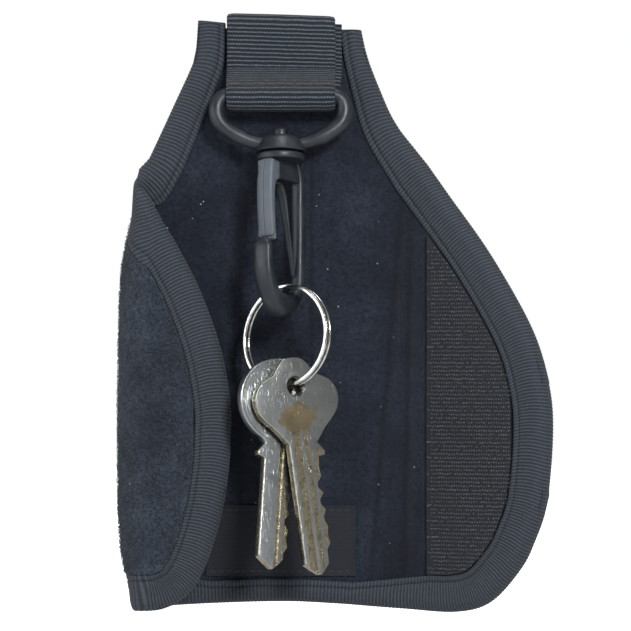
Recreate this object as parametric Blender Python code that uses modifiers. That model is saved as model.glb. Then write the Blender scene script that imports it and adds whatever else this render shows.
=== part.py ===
# Belt key holder with a swivel snap hook, a split ring and two keys.
# Hanging as worn: +Z up, the front faces -Y. The origin is on the back cover's rear face,
# at the middle of the belt tunnel. Depths run from that face toward the front.
import math
from collections import namedtuple

import bmesh
import bpy
from mathutils import Vector

MM = 0.001

# Fits
REST_GAP = 0.3 * MM
OVERRUN = 2.0 * MM
EDGE_STEPS = 3
INSET_KEEP_SHARE = 0.985
TURNED_STEPS = 28
HOLE_STEPS = 24
BORE_STEPS = 20
PIN_STEPS = 16

# Body pattern, laid flat
BODY_HEIGHT = 142.3 * MM
TOP_ABOVE_BELT = 47.3 * MM
LEFT_CREASE = 34.3 * MM
RIGHT_CREASE = 24.5 * MM
GUSSET_WIDTH = 6.5 * MM
LEFT_FLAP_WIDTH = 22.1 * MM
RIGHT_FLAP_WIDTH = 36.5 * MM
LEFT_REACH = LEFT_CREASE + GUSSET_WIDTH + LEFT_FLAP_WIDTH
RIGHT_REACH = RIGHT_CREASE + GUSSET_WIDTH + RIGHT_FLAP_WIDTH
CREASE_GAP = 0.3 * MM

# Shares of the reach and of the height, from the top corner round to the bottom middle
LEFT_EDGE_SHARES = [
    (0.318, 0.000), (0.328, 0.056), (0.348, 0.083), (0.404, 0.137), (0.474, 0.204),
    (0.518, 0.244), (0.572, 0.289), (0.649, 0.320), (0.712, 0.328), (0.763, 0.352),
    (0.801, 0.384), (0.886, 0.460), (0.962, 0.555), (1.000, 0.649), (1.000, 0.705),
    (0.995, 0.754), (0.968, 0.830), (0.916, 0.909), (0.847, 0.965), (0.752, 0.992),
    (0.649, 0.997), (0.545, 0.996), (0.305, 0.989), (0.000, 0.985),
]
RIGHT_EDGE_SHARES = [
    (0.286, 0.016), (0.305, 0.056), (0.345, 0.112), (0.396, 0.171), (0.467, 0.221),
    (0.585, 0.294), (0.761, 0.401), (0.919, 0.521), (0.982, 0.610), (1.000, 0.691),
    (0.978, 0.812), (0.930, 0.880), (0.874, 0.928), (0.761, 0.982), (0.627, 1.000),
    (0.419, 0.997), (0.200, 0.989), (0.000, 0.985),
]

# Layers of the padded cloth, from the outside in
COVER_THICKNESS = 0.8 * MM
FOAM_THICKNESS = 1.8 * MM
LINING_THICKNESS = 0.6 * MM
FOAM_SETBACK = 1.0 * MM
FOAM_FRONT = COVER_THICKNESS + REST_GAP + FOAM_THICKNESS
LINING_BACK = FOAM_FRONT + REST_GAP
LINING_FACE = LINING_BACK + LINING_THICKNESS

# Edge binding: a ribbed tape folded over the edge
TAPE_THICKNESS = 0.8 * MM
BINDING_LEG = 8.8 * MM
BOTTOM_LEG = 5.4 * MM
BOTTOM_LEG_HALF_RUN = 17.0 * MM
LEFT_TOP_LEG = 6.6 * MM
RIGHT_TOP_LEG = 4.6 * MM
TOP_LEG_RUN = 36.0 * MM
BINDING_FACE = LINING_FACE + REST_GAP + TAPE_THICKNESS
CLOTH_SETBACK = TAPE_THICKNESS + REST_GAP
TRIM_SETBACK = BINDING_LEG + REST_GAP

# Flaps at rest: each turns in two equal steps, once on each side of its gusset
LEFT_FIRST_BEND = math.radians(90.0)
LEFT_SECOND_BEND = math.radians(93.0)
RIGHT_FIRST_BEND = math.radians(14.0)
RIGHT_SECOND_BEND = math.radians(14.0)
FOLD_CORE_RADIUS = 2.0 * MM
FOLD_STEPS = 6

# Closure and label
HOOK_TAPE_THICKNESS = 1.4 * MM
HOOK_TAPE_INSET = 4.8 * MM
PILE_THICKNESS = 1.5 * MM
PILE_INSET = 1.0 * MM
LABEL_WIDTH = 36.0 * MM
LABEL_HEIGHT = 17.0 * MM
LABEL_THICKNESS = 0.4 * MM
LABEL_ABOVE_BINDING = 0.8 * MM

# Belt webbing: keeper, front, over the top, belt tunnel
WEBBING_WIDTH = 25.4 * MM
WEBBING_THICKNESS = 1.5 * MM
TAIL_SKEW = 1.6 * MM
TAIL_TOP_BELOW_EDGE = 2.6 * MM
BARTACK_ABOVE_BAR = 6.5 * MM
TUNNEL_HEIGHT = 69.2 * MM
TUNNEL_DEPTH = 5.2 * MM
TUNNEL_SLOPE = 9.0 * MM
TUNNEL_SEAM = 4.0 * MM
TOP_ARC_RISE = 2.6 * MM
TOP_ARC_POWER = 0.6
RAMP_STEPS = 6
KEEPER_ENTRY = math.radians(25.0)
KEEPER_EXIT = math.radians(-210.0)
KEEPER_STEPS = 14

# Dee: a moulded rod that hinges in the keeper, with the swivel collar
BAR_HEIGHT = 29.0 * MM
BAR_FROM_LINING = 6.0 * MM
ROD_RADIUS = 1.95 * MM
BAR_CLEARANCE = 0.45 * MM
DEE_HALF_WIDTH = 15.35 * MM
DEE_DROP = 12.1 * MM
DEE_TILT = math.radians(10.0)
DEE_SHARES = [
    (0.27, 1.00), (0.48, 0.93), (0.74, 0.78), (0.93, 0.58), (1.00, 0.36),
    (0.97, 0.14), (0.84, 0.01), (0.55, 0.00), (0.00, 0.00),
]
COLLAR_DROP = 10.3 * MM
COLLAR_HEIGHT = 3.9 * MM
COLLAR_TOP_RADIUS = 4.1 * MM
COLLAR_BOTTOM_RADIUS = 6.2 * MM
COLLAR_ROUNDING = 0.4 * MM

# Snap hook, drops counted from the bar's axis
STEM_RADIUS = 1.2 * MM
STEM_CLEARANCE = 0.3 * MM
HEAD_RADIUS = 1.75 * MM
HEAD_HEIGHT = 1.6 * MM
PRONG_SLOT = 0.5 * MM
SWIVEL_GAP = 0.4 * MM
FLANGE_RADIUS = 5.85 * MM
FLANGE_THICKNESS = 1.7 * MM
FLANGE_ROUNDING = 0.4 * MM
HOOK_YAW = math.radians(233.0)
HOOK_REACH = 8.0 * MM
HOOK_DEPTH = 38.0 * MM
HOOK_THICKNESS = 5.0 * MM
HOOK_ROUNDING = 0.8 * MM
HOOK_SHARES = [
    (-0.80, -0.010), (-0.93, 0.080), (-1.00, 0.250), (-1.00, 0.450), (-1.00, 0.650),
    (-0.95, 0.800), (-0.74, 0.905), (-0.32, 0.978), (0.10, 1.000), (0.50, 0.955),
    (0.80, 0.860), (0.98, 0.750), (1.04, 0.640), (1.03, 0.562), (0.96, 0.524),
    (0.85, 0.514), (0.75, 0.532), (0.71, 0.590), (0.68, 0.675), (0.53, 0.768),
    (0.27, 0.828), (-0.05, 0.844), (-0.43, 0.840), (-0.63, 0.785), (-0.68, 0.700),
    (-0.68, 0.500), (-0.68, 0.300), (-0.66, 0.100), (-0.54, -0.010),
]
NOSE_TOP_SHARE = 0.514
EYE_BOTTOM_SHARE = 0.841
WEB_THICKNESS = 2.6 * MM
WEB_BACK = 6.4 * MM
PIVOT_FORWARD = 4.3 * MM
PIVOT_DROP = 2.9 * MM
PIVOT_BOSS_RADIUS = 1.7 * MM
BOSS_STEPS = 8
PIVOT_RADIUS = 0.8 * MM
PIVOT_CLEARANCE = 0.2 * MM

# Gate: its outline follows the hook's reach and the way down to the nose
GATE_NOSE_GAP = 0.5 * MM
GATE_WIDTH = 4.6 * MM
GATE_ROUNDING = 0.4 * MM
GATE_TOP_GAP = 0.4 * MM
GATE_SLOT_RADIUS = 3.0 * MM
GATE_SHARES = [
    (0.74, 0.000), (0.82, 0.120), (0.855, 0.330), (0.86, 0.600), (0.84, 0.850),
    (0.81, 0.960), (0.66, 0.965), (0.65, 1.050), (0.56, 1.050), (0.55, 0.850),
    (0.575, 0.600), (0.565, 0.400), (0.50, 0.290), (0.38, 0.245), (0.325, 0.140),
    (0.37, 0.030), (0.50, -0.002),
]
SPRING_WIDTH = 2.4 * MM
SPRING_SHARES = [
    (0.40, 0.302), (0.16, 0.330), (0.03, 0.420), (-0.10, 0.600), (-0.30, 0.950),
    (-0.49, 1.300), (-0.575, 1.440), (-0.615, 1.430), (-0.575, 1.280), (-0.40, 0.950),
    (-0.23, 0.600), (-0.13, 0.400), (0.02, 0.285), (0.36, 0.265),
]

# Split ring: two turns of flattened wire
RING_OUTER_DIAMETER = 25.0 * MM
WIRE_RADIAL = 1.2 * MM
WIRE_AXIAL = 0.9 * MM
WIRE_ROUNDING = 0.25 * MM
COIL_PITCH = 1.35 * MM
COIL_STEPS = 24
COIL_TURNS = 2
RING_SEAT_GAP = 0.9 * MM
RING_ALONG_HOOK = -1.2 * MM
RING_SIDEWAYS = 1.0 * MM
RING_END_ANGLE = math.radians(-40.0)

# Keys
KEY_YAW = math.radians(30.0)
KEY_THICKNESS = 2.0 * MM
KEY_HOLE_RADIUS = 2.45 * MM
KEY_TOP_ABOVE_HOLE = 7.0 * MM
KEY_SEAT_DROP = 0.5 * MM
KEY_EDGE_BEVEL = 0.2 * MM
FRONT_KEY_ON_RING = math.radians(7.5)
BACK_KEY_ON_RING = math.radians(-9.5)
FRONT_KEY_LEAN = math.radians(-9.0)
BACK_KEY_LEAN = math.radians(4.0)
BLADE_WIDTH = 7.8 * MM
FRONT_BLADE_LENGTH = 31.4 * MM
BACK_BLADE_LENGTH = 29.8 * MM
BLADE_TIP = 2.6 * MM
STOP_WIDTH = 1.9 * MM
STOP_DROP = 3.2 * MM
BITTING_SPACING = 4.0 * MM
BITTING_DEPTH = 2.6 * MM
BITTING_FLAT = 1.0 * MM
BITTING_START_SHARE = 0.75
GROOVE_DEPTH = 0.45 * MM
GROOVE_WIDTH = 1.0 * MM
FRONT_BOW_HALF_WIDTH = 11.4 * MM
FRONT_BOW_HEIGHT = 20.6 * MM
BACK_BOW_HALF_WIDTH = 11.4 * MM
BACK_BOW_HEIGHT = 20.8 * MM
RIM_WIDTH = 1.6 * MM
RIM_SETBACK = 0.4 * MM
RIM_HEIGHT = 0.25 * MM
RIM_STEPS = 34
FRONT_BOW_SHARES = [
    (0.00, 0.00), (0.22, 0.01), (0.36, 0.06), (0.45, 0.13), (0.53, 0.20), (0.68, 0.24),
    (0.84, 0.29), (0.96, 0.38), (1.00, 0.50), (0.94, 0.63), (0.78, 0.74), (0.59, 0.84),
    (0.46, 0.93),
]
FRONT_BITTING_SHARES = [0.15, 0.85, 0.80, 0.45, 0.20, 0.70]
BACK_BITTING_SHARES = [0.30, 0.55, 0.35, 0.75, 0.25, 0.60]
FRONT_GROOVE_SHARES = [0.22, 0.55]
BACK_GROOVE_SHARES = [0.36, 0.62]

BAR_DEPTH = LINING_FACE + BAR_FROM_LINING
KEEPER_RADIUS = ROD_RADIUS + BAR_CLEARANCE + WEBBING_THICKNESS / 2
FLANGE_TOP = COLLAR_DROP + COLLAR_HEIGHT + SWIVEL_GAP
HOOK_TOP = FLANGE_TOP + FLANGE_THICKNESS
PIVOT_TOTAL_DROP = HOOK_TOP + PIVOT_DROP
GATE_DROP = HOOK_DEPTH * NOSE_TOP_SHARE - GATE_NOSE_GAP
EYE_BOTTOM = HOOK_TOP + HOOK_DEPTH * EYE_BOTTOM_SHARE
RING_RADIUS = (RING_OUTER_DIAMETER - WIRE_RADIAL) / 2
RING_CENTRE_DROP = EYE_BOTTOM - RING_SEAT_GAP - WIRE_RADIAL / 2 + RING_RADIUS
KEY_TOP = KEY_TOP_ABOVE_HOLE - KEY_SEAT_DROP
BOTTOM_BAR_DROP = HOOK_TOP + HOOK_DEPTH * (1.0 + EYE_BOTTOM_SHARE) / 2

Frame = namedtuple("Frame", "empty origin")
PARTS = bpy.data.collections.new("key_holder")
CUTTERS = bpy.data.collections.new("key_holder_cutters")


def clear_scene():
    for old in list(bpy.data.objects):
        bpy.data.objects.remove(old, do_unlink=True)
    bpy.context.scene.collection.children.link(PARTS)
    bpy.context.scene.collection.children.link(CUTTERS)


def finish(name, color, roughness, metallic=0.0):
    material = bpy.data.materials.new(name)
    material.use_nodes = True
    shader = material.node_tree.nodes["Principled BSDF"]
    shader.inputs["Base Color"].default_value = (*color, 1.0)
    shader.inputs["Roughness"].default_value = roughness
    shader.inputs["Metallic"].default_value = metallic
    return material


def smooth(points, steps=EDGE_STEPS, closed=False):
    """A Catmull-Rom curve through the points."""
    points = [Vector(p) for p in points]
    if closed:
        ring = [points[-1]] + points + points[:2]
    else:
        ring = [points[0]] + points + [points[-1]]
    out = []
    for a, b, c, d in zip(ring, ring[1:], ring[2:], ring[3:]):
        for i in range(steps):
            t = i / steps
            out.append(0.5 * (2 * b + (c - a) * t + (2 * a - 5 * b + 4 * c - d) * t**2
                              + (3 * b - a - 3 * c + d) * t**3))
    if not closed:
        out.append(points[-1])
    return out


def pattern_edge():
    """The flat pattern's edge: down the left, along the bottom and up the right."""
    left = [(-LEFT_REACH * u, TOP_ABOVE_BELT - BODY_HEIGHT * v) for u, v in LEFT_EDGE_SHARES]
    right = [(RIGHT_REACH * u, TOP_ABOVE_BELT - BODY_HEIGHT * v) for u, v in RIGHT_EDGE_SHARES]
    return smooth(left + right[-2::-1])


EDGE = pattern_edge()


def leg_width(index):
    """The binding's leg narrows at the shoulders and along the back panel's bottom."""
    point = EDGE[index]
    down = TOP_ABOVE_BELT - point.y
    if down < TOP_LEG_RUN:
        narrow = LEFT_TOP_LEG if point.x < 0 else RIGHT_TOP_LEG
        share = down / TOP_LEG_RUN
    elif down < BODY_HEIGHT - BINDING_LEG:
        return BINDING_LEG
    else:
        narrow = BOTTOM_LEG
        run = LEFT_CREASE if point.x < 0 else RIGHT_FLAP_WIDTH
        share = (abs(point.x) - BOTTOM_LEG_HALF_RUN) / (run - BOTTOM_LEG_HALF_RUN)
    return narrow + (BINDING_LEG - narrow) * min(1.0, max(0.0, share))


def inset(distances, first=0, last=None):
    """Points of the edge moved inward, without those that a tight bend folds over."""
    last = len(EDGE) if last is None else last
    moved = []
    for i in range(first, last):
        run = EDGE[min(i + 1, len(EDGE) - 1)] - EDGE[max(i - 1, 0)]
        inward = Vector((-run.y, run.x)).normalized()
        distance = distances(i)
        point = EDGE[i] + inward * distance
        if min((point - other).length for other in EDGE) > distance * INSET_KEEP_SHARE:
            moved.append(point)
    return moved


def clip(outline, low=None, high=None):
    """The part of an outline between two upright lines."""
    for limit, keep in ((low, 1), (high, -1)):
        if limit is None:
            continue
        kept = []
        for a, b in zip(outline, outline[1:] + outline[:1]):
            side_a = (a.x - limit) * keep
            side_b = (b.x - limit) * keep
            if side_a >= 0:
                kept.append(a)
            if (side_a > 0 > side_b) or (side_a < 0 < side_b):
                kept.append(a.lerp(b, side_a / (side_a - side_b)))
        outline = kept
    return outline


def band(first, last):
    """The strip that the binding covers, between two stations of the edge."""
    return EDGE[first:last] + inset(leg_width, first, last)[::-1]


def edge_heights(u):
    """The pattern's lowest and highest points on an upright line."""
    crossings = []
    for a, b in zip(EDGE, EDGE[1:]):
        if (a.x - u) * (b.x - u) <= 0 and a.x != b.x:
            crossings.append(a.lerp(b, (u - a.x) / (b.x - a.x)).y)
    return min(crossings), max(crossings)


def new_object(name, mesh, material, frame, collection=PARTS):
    piece = bpy.data.objects.new(name, mesh)
    if material is not None:
        mesh.materials.append(material)
    if frame is not None:
        piece.parent = frame.empty
        piece.location = -Vector(frame.origin)
    if collection is CUTTERS:
        piece.hide_render = True
        piece.display_type = "WIRE"
    collection.objects.link(piece)
    return piece


def to_mesh(curve, name, upright=False):
    """The mesh of a curve, with its caps welded; upright turns it to face the front."""
    shape = bpy.data.objects.new(name, curve)
    bpy.context.scene.collection.objects.link(shape)
    graph = bpy.context.evaluated_depsgraph_get()
    mesh = bpy.data.meshes.new_from_object(shape.evaluated_get(graph))
    bpy.data.objects.remove(shape, do_unlink=True)
    work = bmesh.new()
    work.from_mesh(mesh)
    bmesh.ops.remove_doubles(work, verts=work.verts, dist=REST_GAP / 100)
    if upright:
        for vert in work.verts:
            vert.co = Vector((vert.co.x, -vert.co.z, vert.co.y))
    bmesh.ops.recalc_face_normals(work, faces=work.faces)
    work.to_mesh(mesh)
    work.free()
    return mesh


def outline_curve(name, outline, thickness):
    curve = bpy.data.curves.new(name, "CURVE")
    curve.dimensions = "2D"
    curve.fill_mode = "BOTH"
    curve.extrude = thickness / 2
    spline = curve.splines.new("POLY")
    spline.points.add(len(outline) - 1)
    for point, place in zip(spline.points, outline):
        point.co = (place[0], place[1], 0.0, 1.0)
    spline.use_cyclic_u = True
    return curve


def plate(name, outline, back, front, material, frame=None, collection=PARTS):
    """A flat piece in the upright plane, from one depth to another."""
    mesh = to_mesh(outline_curve(name, outline, front - back), name, upright=True)
    for vert in mesh.vertices:
        vert.co.y -= (back + front) / 2
    return new_object(name, mesh, material, frame, collection)


def column(name, outline, low, high, material, frame=None, collection=PARTS):
    """An upright piece with a level outline, from one height to another."""
    mesh = to_mesh(outline_curve(name, outline, high - low), name)
    for vert in mesh.vertices:
        vert.co.z += (low + high) / 2
    return new_object(name, mesh, material, frame, collection)


def turned(name, rings, steps, material, frame=None, collection=PARTS):
    """A turned piece about the upright axis: rings of (radius, height), top to bottom."""
    work = bmesh.new()
    verts = [work.verts.new((radius, 0.0, height)) for radius, height in rings]
    edges = [work.edges.new(pair) for pair in zip(verts, verts[1:])]
    bmesh.ops.spin(work, geom=verts + edges, cent=(0, 0, 0), axis=(0, 0, 1),
                   angle=math.tau, steps=steps, use_merge=True)
    bmesh.ops.remove_doubles(work, verts=work.verts, dist=REST_GAP / 100)
    bmesh.ops.recalc_face_normals(work, faces=work.faces)
    mesh = bpy.data.meshes.new(name)
    work.to_mesh(mesh)
    work.free()
    return new_object(name, mesh, material, frame, collection)


def cylinder(name, radius, length, place, axis, steps=BORE_STEPS, frame=None,
             collection=CUTTERS):
    work = bmesh.new()
    bmesh.ops.create_cone(work, cap_ends=True, segments=steps, radius1=radius,
                          radius2=radius, depth=length)
    mesh = bpy.data.meshes.new(name)
    work.to_mesh(mesh)
    work.free()
    piece = new_object(name, mesh, None, frame, collection)
    piece.rotation_euler = Vector((0, 0, 1)).rotation_difference(Vector(axis)).to_euler()
    piece.location = Vector(place) - (Vector(frame.origin) if frame else Vector())
    return piece


def block(name, size, place, frame=None, turn=0.0):
    work = bmesh.new()
    bmesh.ops.create_cube(work, size=1.0)
    bmesh.ops.scale(work, vec=size, verts=work.verts)
    mesh = bpy.data.meshes.new(name)
    work.to_mesh(mesh)
    work.free()
    piece = new_object(name, mesh, None, frame, CUTTERS)
    piece.location = Vector(place) - (Vector(frame.origin) if frame else Vector())
    piece.rotation_euler = (0.0, turn, 0.0)
    return piece


def combine(piece, tool, operation="DIFFERENCE"):
    """Cuts the tool from the piece, or joins it on."""
    if tool.name in PARTS.objects:
        PARTS.objects.unlink(tool)
        CUTTERS.objects.link(tool)
        tool.hide_render = True
        tool.display_type = "WIRE"
    change = piece.modifiers.new(operation.title(), "BOOLEAN")
    change.operation = operation
    change.object = tool
    change.solver = "EXACT"
    return piece


def bevel(piece, width, segments=2, angle=50.0):
    change = piece.modifiers.new("Rounding", "BEVEL")
    change.width = width
    change.segments = segments
    change.limit_method = "ANGLE"
    change.use_clamp_overlap = False
    change.angle_limit = math.radians(angle)
    return piece


def shade(piece, angle=35.0):
    piece.data.shade_smooth()
    piece.data.set_sharp_from_angle(angle=math.radians(angle))
    return piece


def empty(name, place, turn, parent=None):
    mark = bpy.data.objects.new(name, None)
    mark.location = place
    mark.rotation_euler = turn
    mark.parent = parent
    PARTS.objects.link(mark)
    return mark


def make_frames():
    """The joint axes, nested as the pieces carry each other."""
    left_1 = empty("left_gusset_axis", (-LEFT_CREASE, -BINDING_FACE, 0), (0, 0, LEFT_FIRST_BEND))
    left_2 = empty("left_flap_axis", (-GUSSET_WIDTH, 0, 0), (0, 0, LEFT_SECOND_BEND), left_1)
    right_1 = empty("right_gusset_axis", (RIGHT_CREASE, -BINDING_FACE, 0),
                    (0, 0, -RIGHT_FIRST_BEND))
    right_2 = empty("right_flap_axis", (GUSSET_WIDTH, 0, 0), (0, 0, -RIGHT_SECOND_BEND), right_1)
    dee = empty("dee_axis", (0, -BAR_DEPTH, BAR_HEIGHT), (-DEE_TILT, 0, 0))
    hook = empty("swivel_axis", (0, 0, 0), (0, 0, HOOK_YAW), dee)
    gate = empty("gate_axis", (PIVOT_FORWARD, 0, -PIVOT_TOTAL_DROP), (0, 0, 0), hook)
    ring = empty("ring_axis", (0, 0, -BOTTOM_BAR_DROP), (0, 0, 0), hook)
    centre = Vector((RING_ALONG_HOOK, RING_SIDEWAYS, BOTTOM_BAR_DROP - RING_CENTRE_DROP))
    keys = []
    for name, station, lean in (("front", FRONT_KEY_ON_RING, FRONT_KEY_LEAN),
                                ("back", BACK_KEY_ON_RING, BACK_KEY_LEAN)):
        hole = Vector((wire_offset(station), RING_RADIUS * math.sin(station),
                       -RING_RADIUS * math.cos(station)))
        stand = empty(name + "_key_stand", centre + hole, (0, 0, KEY_YAW - HOOK_YAW), ring)
        keys.append(empty(name + "_key_axis", (0, 0, 0), (0, lean, 0), stand))
    no_offset = (0, 0, 0)
    return {
        "left_gusset": Frame(left_1, (-LEFT_CREASE, -BINDING_FACE, 0)),
        "left_flap": Frame(left_2, (-LEFT_CREASE - GUSSET_WIDTH, -BINDING_FACE, 0)),
        "right_gusset": Frame(right_1, (RIGHT_CREASE, -BINDING_FACE, 0)),
        "right_flap": Frame(right_2, (RIGHT_CREASE + GUSSET_WIDTH, -BINDING_FACE, 0)),
        "dee": Frame(dee, no_offset),
        "hook": Frame(hook, no_offset),
        "gate": Frame(gate, (PIVOT_FORWARD, 0, -PIVOT_TOTAL_DROP)),
        "ring": Frame(ring, (0, 0, -BOTTOM_BAR_DROP)),
        "front_key": Frame(keys[0], no_offset),
        "back_key": Frame(keys[1], no_offset),
    }


def cavity(name, frame):
    """The room that the cloth layers take inside the binding."""
    inner = inset(lambda i: TAPE_THICKNESS)
    lift = Vector((0.0, OVERRUN))
    outline = [inner[0] + lift] + inner + [inner[-1] + lift]
    back = -REST_GAP
    front = LINING_FACE + REST_GAP
    return plate(name + "_cavity", outline, back, front, None, frame, CUTTERS)


def binding(name, first, last, low, high, room, frame, material):
    outline = clip(band(first, last), low, high)
    back = -REST_GAP - TAPE_THICKNESS
    piece = plate(name, outline, back, BINDING_FACE, material, frame)
    return combine(piece, room)


def cloth(prefix, low, high, frame, looks, layers):
    """The cover, foam and lining between two creases."""
    outline = clip(inset(lambda i: CLOTH_SETBACK), low, high)
    foam = clip(inset(lambda i: CLOTH_SETBACK + FOAM_SETBACK), low, high)
    names = dict(zip(("cover", "foam", "lining"), layers))
    plate(prefix + names["cover"], outline, 0.0, COVER_THICKNESS, looks["cover"], frame)
    plate(prefix + names["foam"], foam, COVER_THICKNESS + REST_GAP, FOAM_FRONT,
          looks["foam"], frame)
    plate(prefix + names["lining"], outline, LINING_BACK, LINING_FACE, looks["lining"], frame)


def stations():
    """Where the edge is furthest left and right, and lowest at the middle."""
    left = min(range(len(EDGE)), key=lambda i: EDGE[i].x)
    right = max(range(len(EDGE)), key=lambda i: EDGE[i].x)
    return left, right


def make_body(frames, looks):
    half_gap = CREASE_GAP / 2
    left, right = stations()
    end = len(EDGE)
    l_1, l_2 = -LEFT_CREASE, -LEFT_CREASE - GUSSET_WIDTH
    r_1, r_2 = RIGHT_CREASE, RIGHT_CREASE + GUSSET_WIDTH
    panel = (l_1 + half_gap, r_1 - half_gap)
    left_gusset = (l_2 + half_gap, l_1 - half_gap)
    right_gusset = (r_1 + half_gap, r_2 - half_gap)
    tape = looks["binding"]

    cloth("", *panel, None, looks, ("back_cover", "foam_core", "lining"))
    room = cavity("panel", None)
    binding("top_left_binding", 0, left, *panel, room, None, tape)
    binding("top_right_binding", right, end, *panel, room, None, tape)
    binding("bottom_binding", left, right, *panel, room, None, tape)

    for side, span, top, bottom in (("left", left_gusset, (0, left), (left, right)),
                                    ("right", right_gusset, (right, end), (left, right))):
        frame = frames[side + "_gusset"]
        outline = clip(inset(lambda i: CLOTH_SETBACK), *span)
        plate(side + "_gusset", outline, 0.0, LINING_FACE, looks["gusset"], frame)
        room = cavity(side + "_gusset", frame)
        binding(side + "_gusset_top_binding", *top, *span, room, frame, tape)
        binding(side + "_gusset_bottom_binding", *bottom, *span, room, frame, tape)

    for side, span, run in (("left", (None, l_2 - half_gap), (0, end // 2)),
                            ("right", (r_2 + half_gap, None), (end // 2, end))):
        frame = frames[side + "_flap"]
        cloth(side + "_flap_", *span, frame, looks, ("cover", "foam", "lining"))
        room = cavity(side + "_flap", frame)
        binding(side + "_flap_binding", *run, *span, room, frame, tape)

    trim = inset(lambda i: TRIM_SETBACK)
    hook_tape = clip(trim, r_2 + HOOK_TAPE_INSET, None)
    tape_back = LINING_FACE + REST_GAP
    plate("hook_tape", hook_tape, tape_back, tape_back + HOOK_TAPE_THICKNESS,
          looks["hook_tape"], frames["right_flap"])
    pile = clip(trim, None, l_2 - PILE_INSET)
    plate("loop_pile", pile, -REST_GAP - PILE_THICKNESS, -REST_GAP, looks["pile"],
          frames["left_flap"])


def sector(radius_in, radius_out, middle, half_angle):
    """A level outline that fills the wedge of a fold, clear of both cut faces."""
    def free_angle(radius):
        return half_angle - math.asin(CREASE_GAP / 2 / radius)

    points = []
    for radius, way in ((radius_out, 1), (radius_in, -1)):
        reach = free_angle(radius)
        steps = max(2, round(FOLD_STEPS * half_angle / LEFT_FIRST_BEND * 2))
        for i in range(steps + 1):
            angle = middle + way * reach * (2 * i / steps - 1)
            points.append(Vector((radius * math.cos(angle), radius * math.sin(angle))))
    return points


def make_fold(name, crease, bend, way, base, material):
    """The cloth that bends round a crease, with the bound edge at its two ends."""
    low, high = edge_heights(crease)
    half = bend / 2
    middle = math.pi / 2 + way * half
    core_in = max(BINDING_FACE - LINING_FACE, FOLD_CORE_RADIUS)
    core = sector(core_in, BINDING_FACE, middle, half)
    ends = sector(FOLD_CORE_RADIUS, BINDING_FACE + REST_GAP + TAPE_THICKNESS, middle, half)
    piece = column(name, core, low + BOTTOM_LEG, high - CLOTH_SETBACK, material)
    top = column(name + "_top_end", ends, high - BINDING_LEG, high, None)
    bottom = column(name + "_bottom_end", ends, low, low + BINDING_LEG, None)
    for shape in (piece, top, bottom):
        shape.location = (crease, -BINDING_FACE, 0)
        if base is not None:
            shape.parent = base.empty
            shape.location -= Vector(base.origin)
    combine(piece, top, "UNION")
    combine(piece, bottom, "UNION")
    return piece


def make_folds(frames, looks):
    gusset_left, gusset_right = frames["left_gusset"], frames["right_gusset"]
    make_fold("left_inner_fold", -LEFT_CREASE, LEFT_FIRST_BEND, 1, None, looks["gusset"])
    make_fold("left_outer_fold", -LEFT_CREASE - GUSSET_WIDTH, LEFT_SECOND_BEND, 1,
              gusset_left, looks["gusset"])
    make_fold("right_inner_fold", RIGHT_CREASE, RIGHT_FIRST_BEND, -1, None, looks["gusset"])
    make_fold("right_outer_fold", RIGHT_CREASE + GUSSET_WIDTH, RIGHT_SECOND_BEND, -1,
              gusset_right, looks["gusset"])


def make_label(looks):
    low, high = edge_heights(0.0)
    bottom = low + BOTTOM_LEG + LABEL_ABOVE_BINDING
    half = LABEL_WIDTH / 2
    outline = [(-half, bottom), (half, bottom), (half, bottom + LABEL_HEIGHT),
               (-half, bottom + LABEL_HEIGHT)]
    back = LINING_FACE + REST_GAP
    plate("label", outline, back, back + LABEL_THICKNESS, looks["label"])


def top_edge_height(u):
    """Height of the body's raw top edge, which runs straight between the bindings."""
    a, b = EDGE[0], EDGE[-1]
    return a.lerp(b, (u - a.x) / (b.x - a.x)).y


def ramp(start, end, steps=RAMP_STEPS):
    """An S-bend between two runs: depth eases while the height goes on evenly."""
    points = []
    for i in range(1, steps + 1):
        t = i / steps
        ease = t * t * (3 - 2 * t)
        points.append((start[0] + (end[0] - start[0]) * ease,
                       start[1] + (end[1] - start[1]) * t))
    return points


def webbing_line():
    """The ribbon's middle line, as (depth, height), from the keeper's tail to the tunnel's."""
    half = WEBBING_THICKNESS / 2
    tail = LINING_FACE + REST_GAP + half
    front = tail + WEBBING_THICKNESS + REST_GAP
    rear = -REST_GAP - half
    bartack = BAR_HEIGHT + BARTACK_ABOVE_BAR
    rim = top_edge_height(-WEBBING_WIDTH / 2) + REST_GAP + half
    bend_start = rim - TOP_ARC_RISE
    line = [(tail, bend_start - TAIL_TOP_BELOW_EDGE), (tail, bartack)]

    def on_keeper(angle):
        return (BAR_DEPTH - KEEPER_RADIUS * math.cos(angle),
                BAR_HEIGHT + KEEPER_RADIUS * math.sin(angle))

    entry = on_keeper(KEEPER_ENTRY)
    line += ramp(line[-1], entry)
    for i in range(1, KEEPER_STEPS + 1):
        line.append(on_keeper(KEEPER_ENTRY + (KEEPER_EXIT - KEEPER_ENTRY) * i / KEEPER_STEPS))
    line += ramp(line[-1], (front, bartack))
    middle = (front + rear) / 2
    reach = (front - rear) / 2
    for i in range(2 * RAMP_STEPS + 1):
        angle = math.pi * i / (2 * RAMP_STEPS)
        across = math.copysign(abs(math.cos(angle)) ** TOP_ARC_POWER, math.cos(angle))
        rise = max(0.0, math.sin(angle)) ** TOP_ARC_POWER
        line.append((middle + reach * across, bend_start + TOP_ARC_RISE * rise))
    seam = TUNNEL_HEIGHT / 2
    out = -(REST_GAP + TUNNEL_DEPTH + half)
    line.append((rear, seam))
    line += ramp((rear, seam), (out, seam - TUNNEL_SLOPE))
    line.append((out, TUNNEL_SLOPE - seam))
    line += ramp((out, TUNNEL_SLOPE - seam), (rear, -seam))
    line.append((rear, -seam - TUNNEL_SEAM))
    return line


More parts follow.
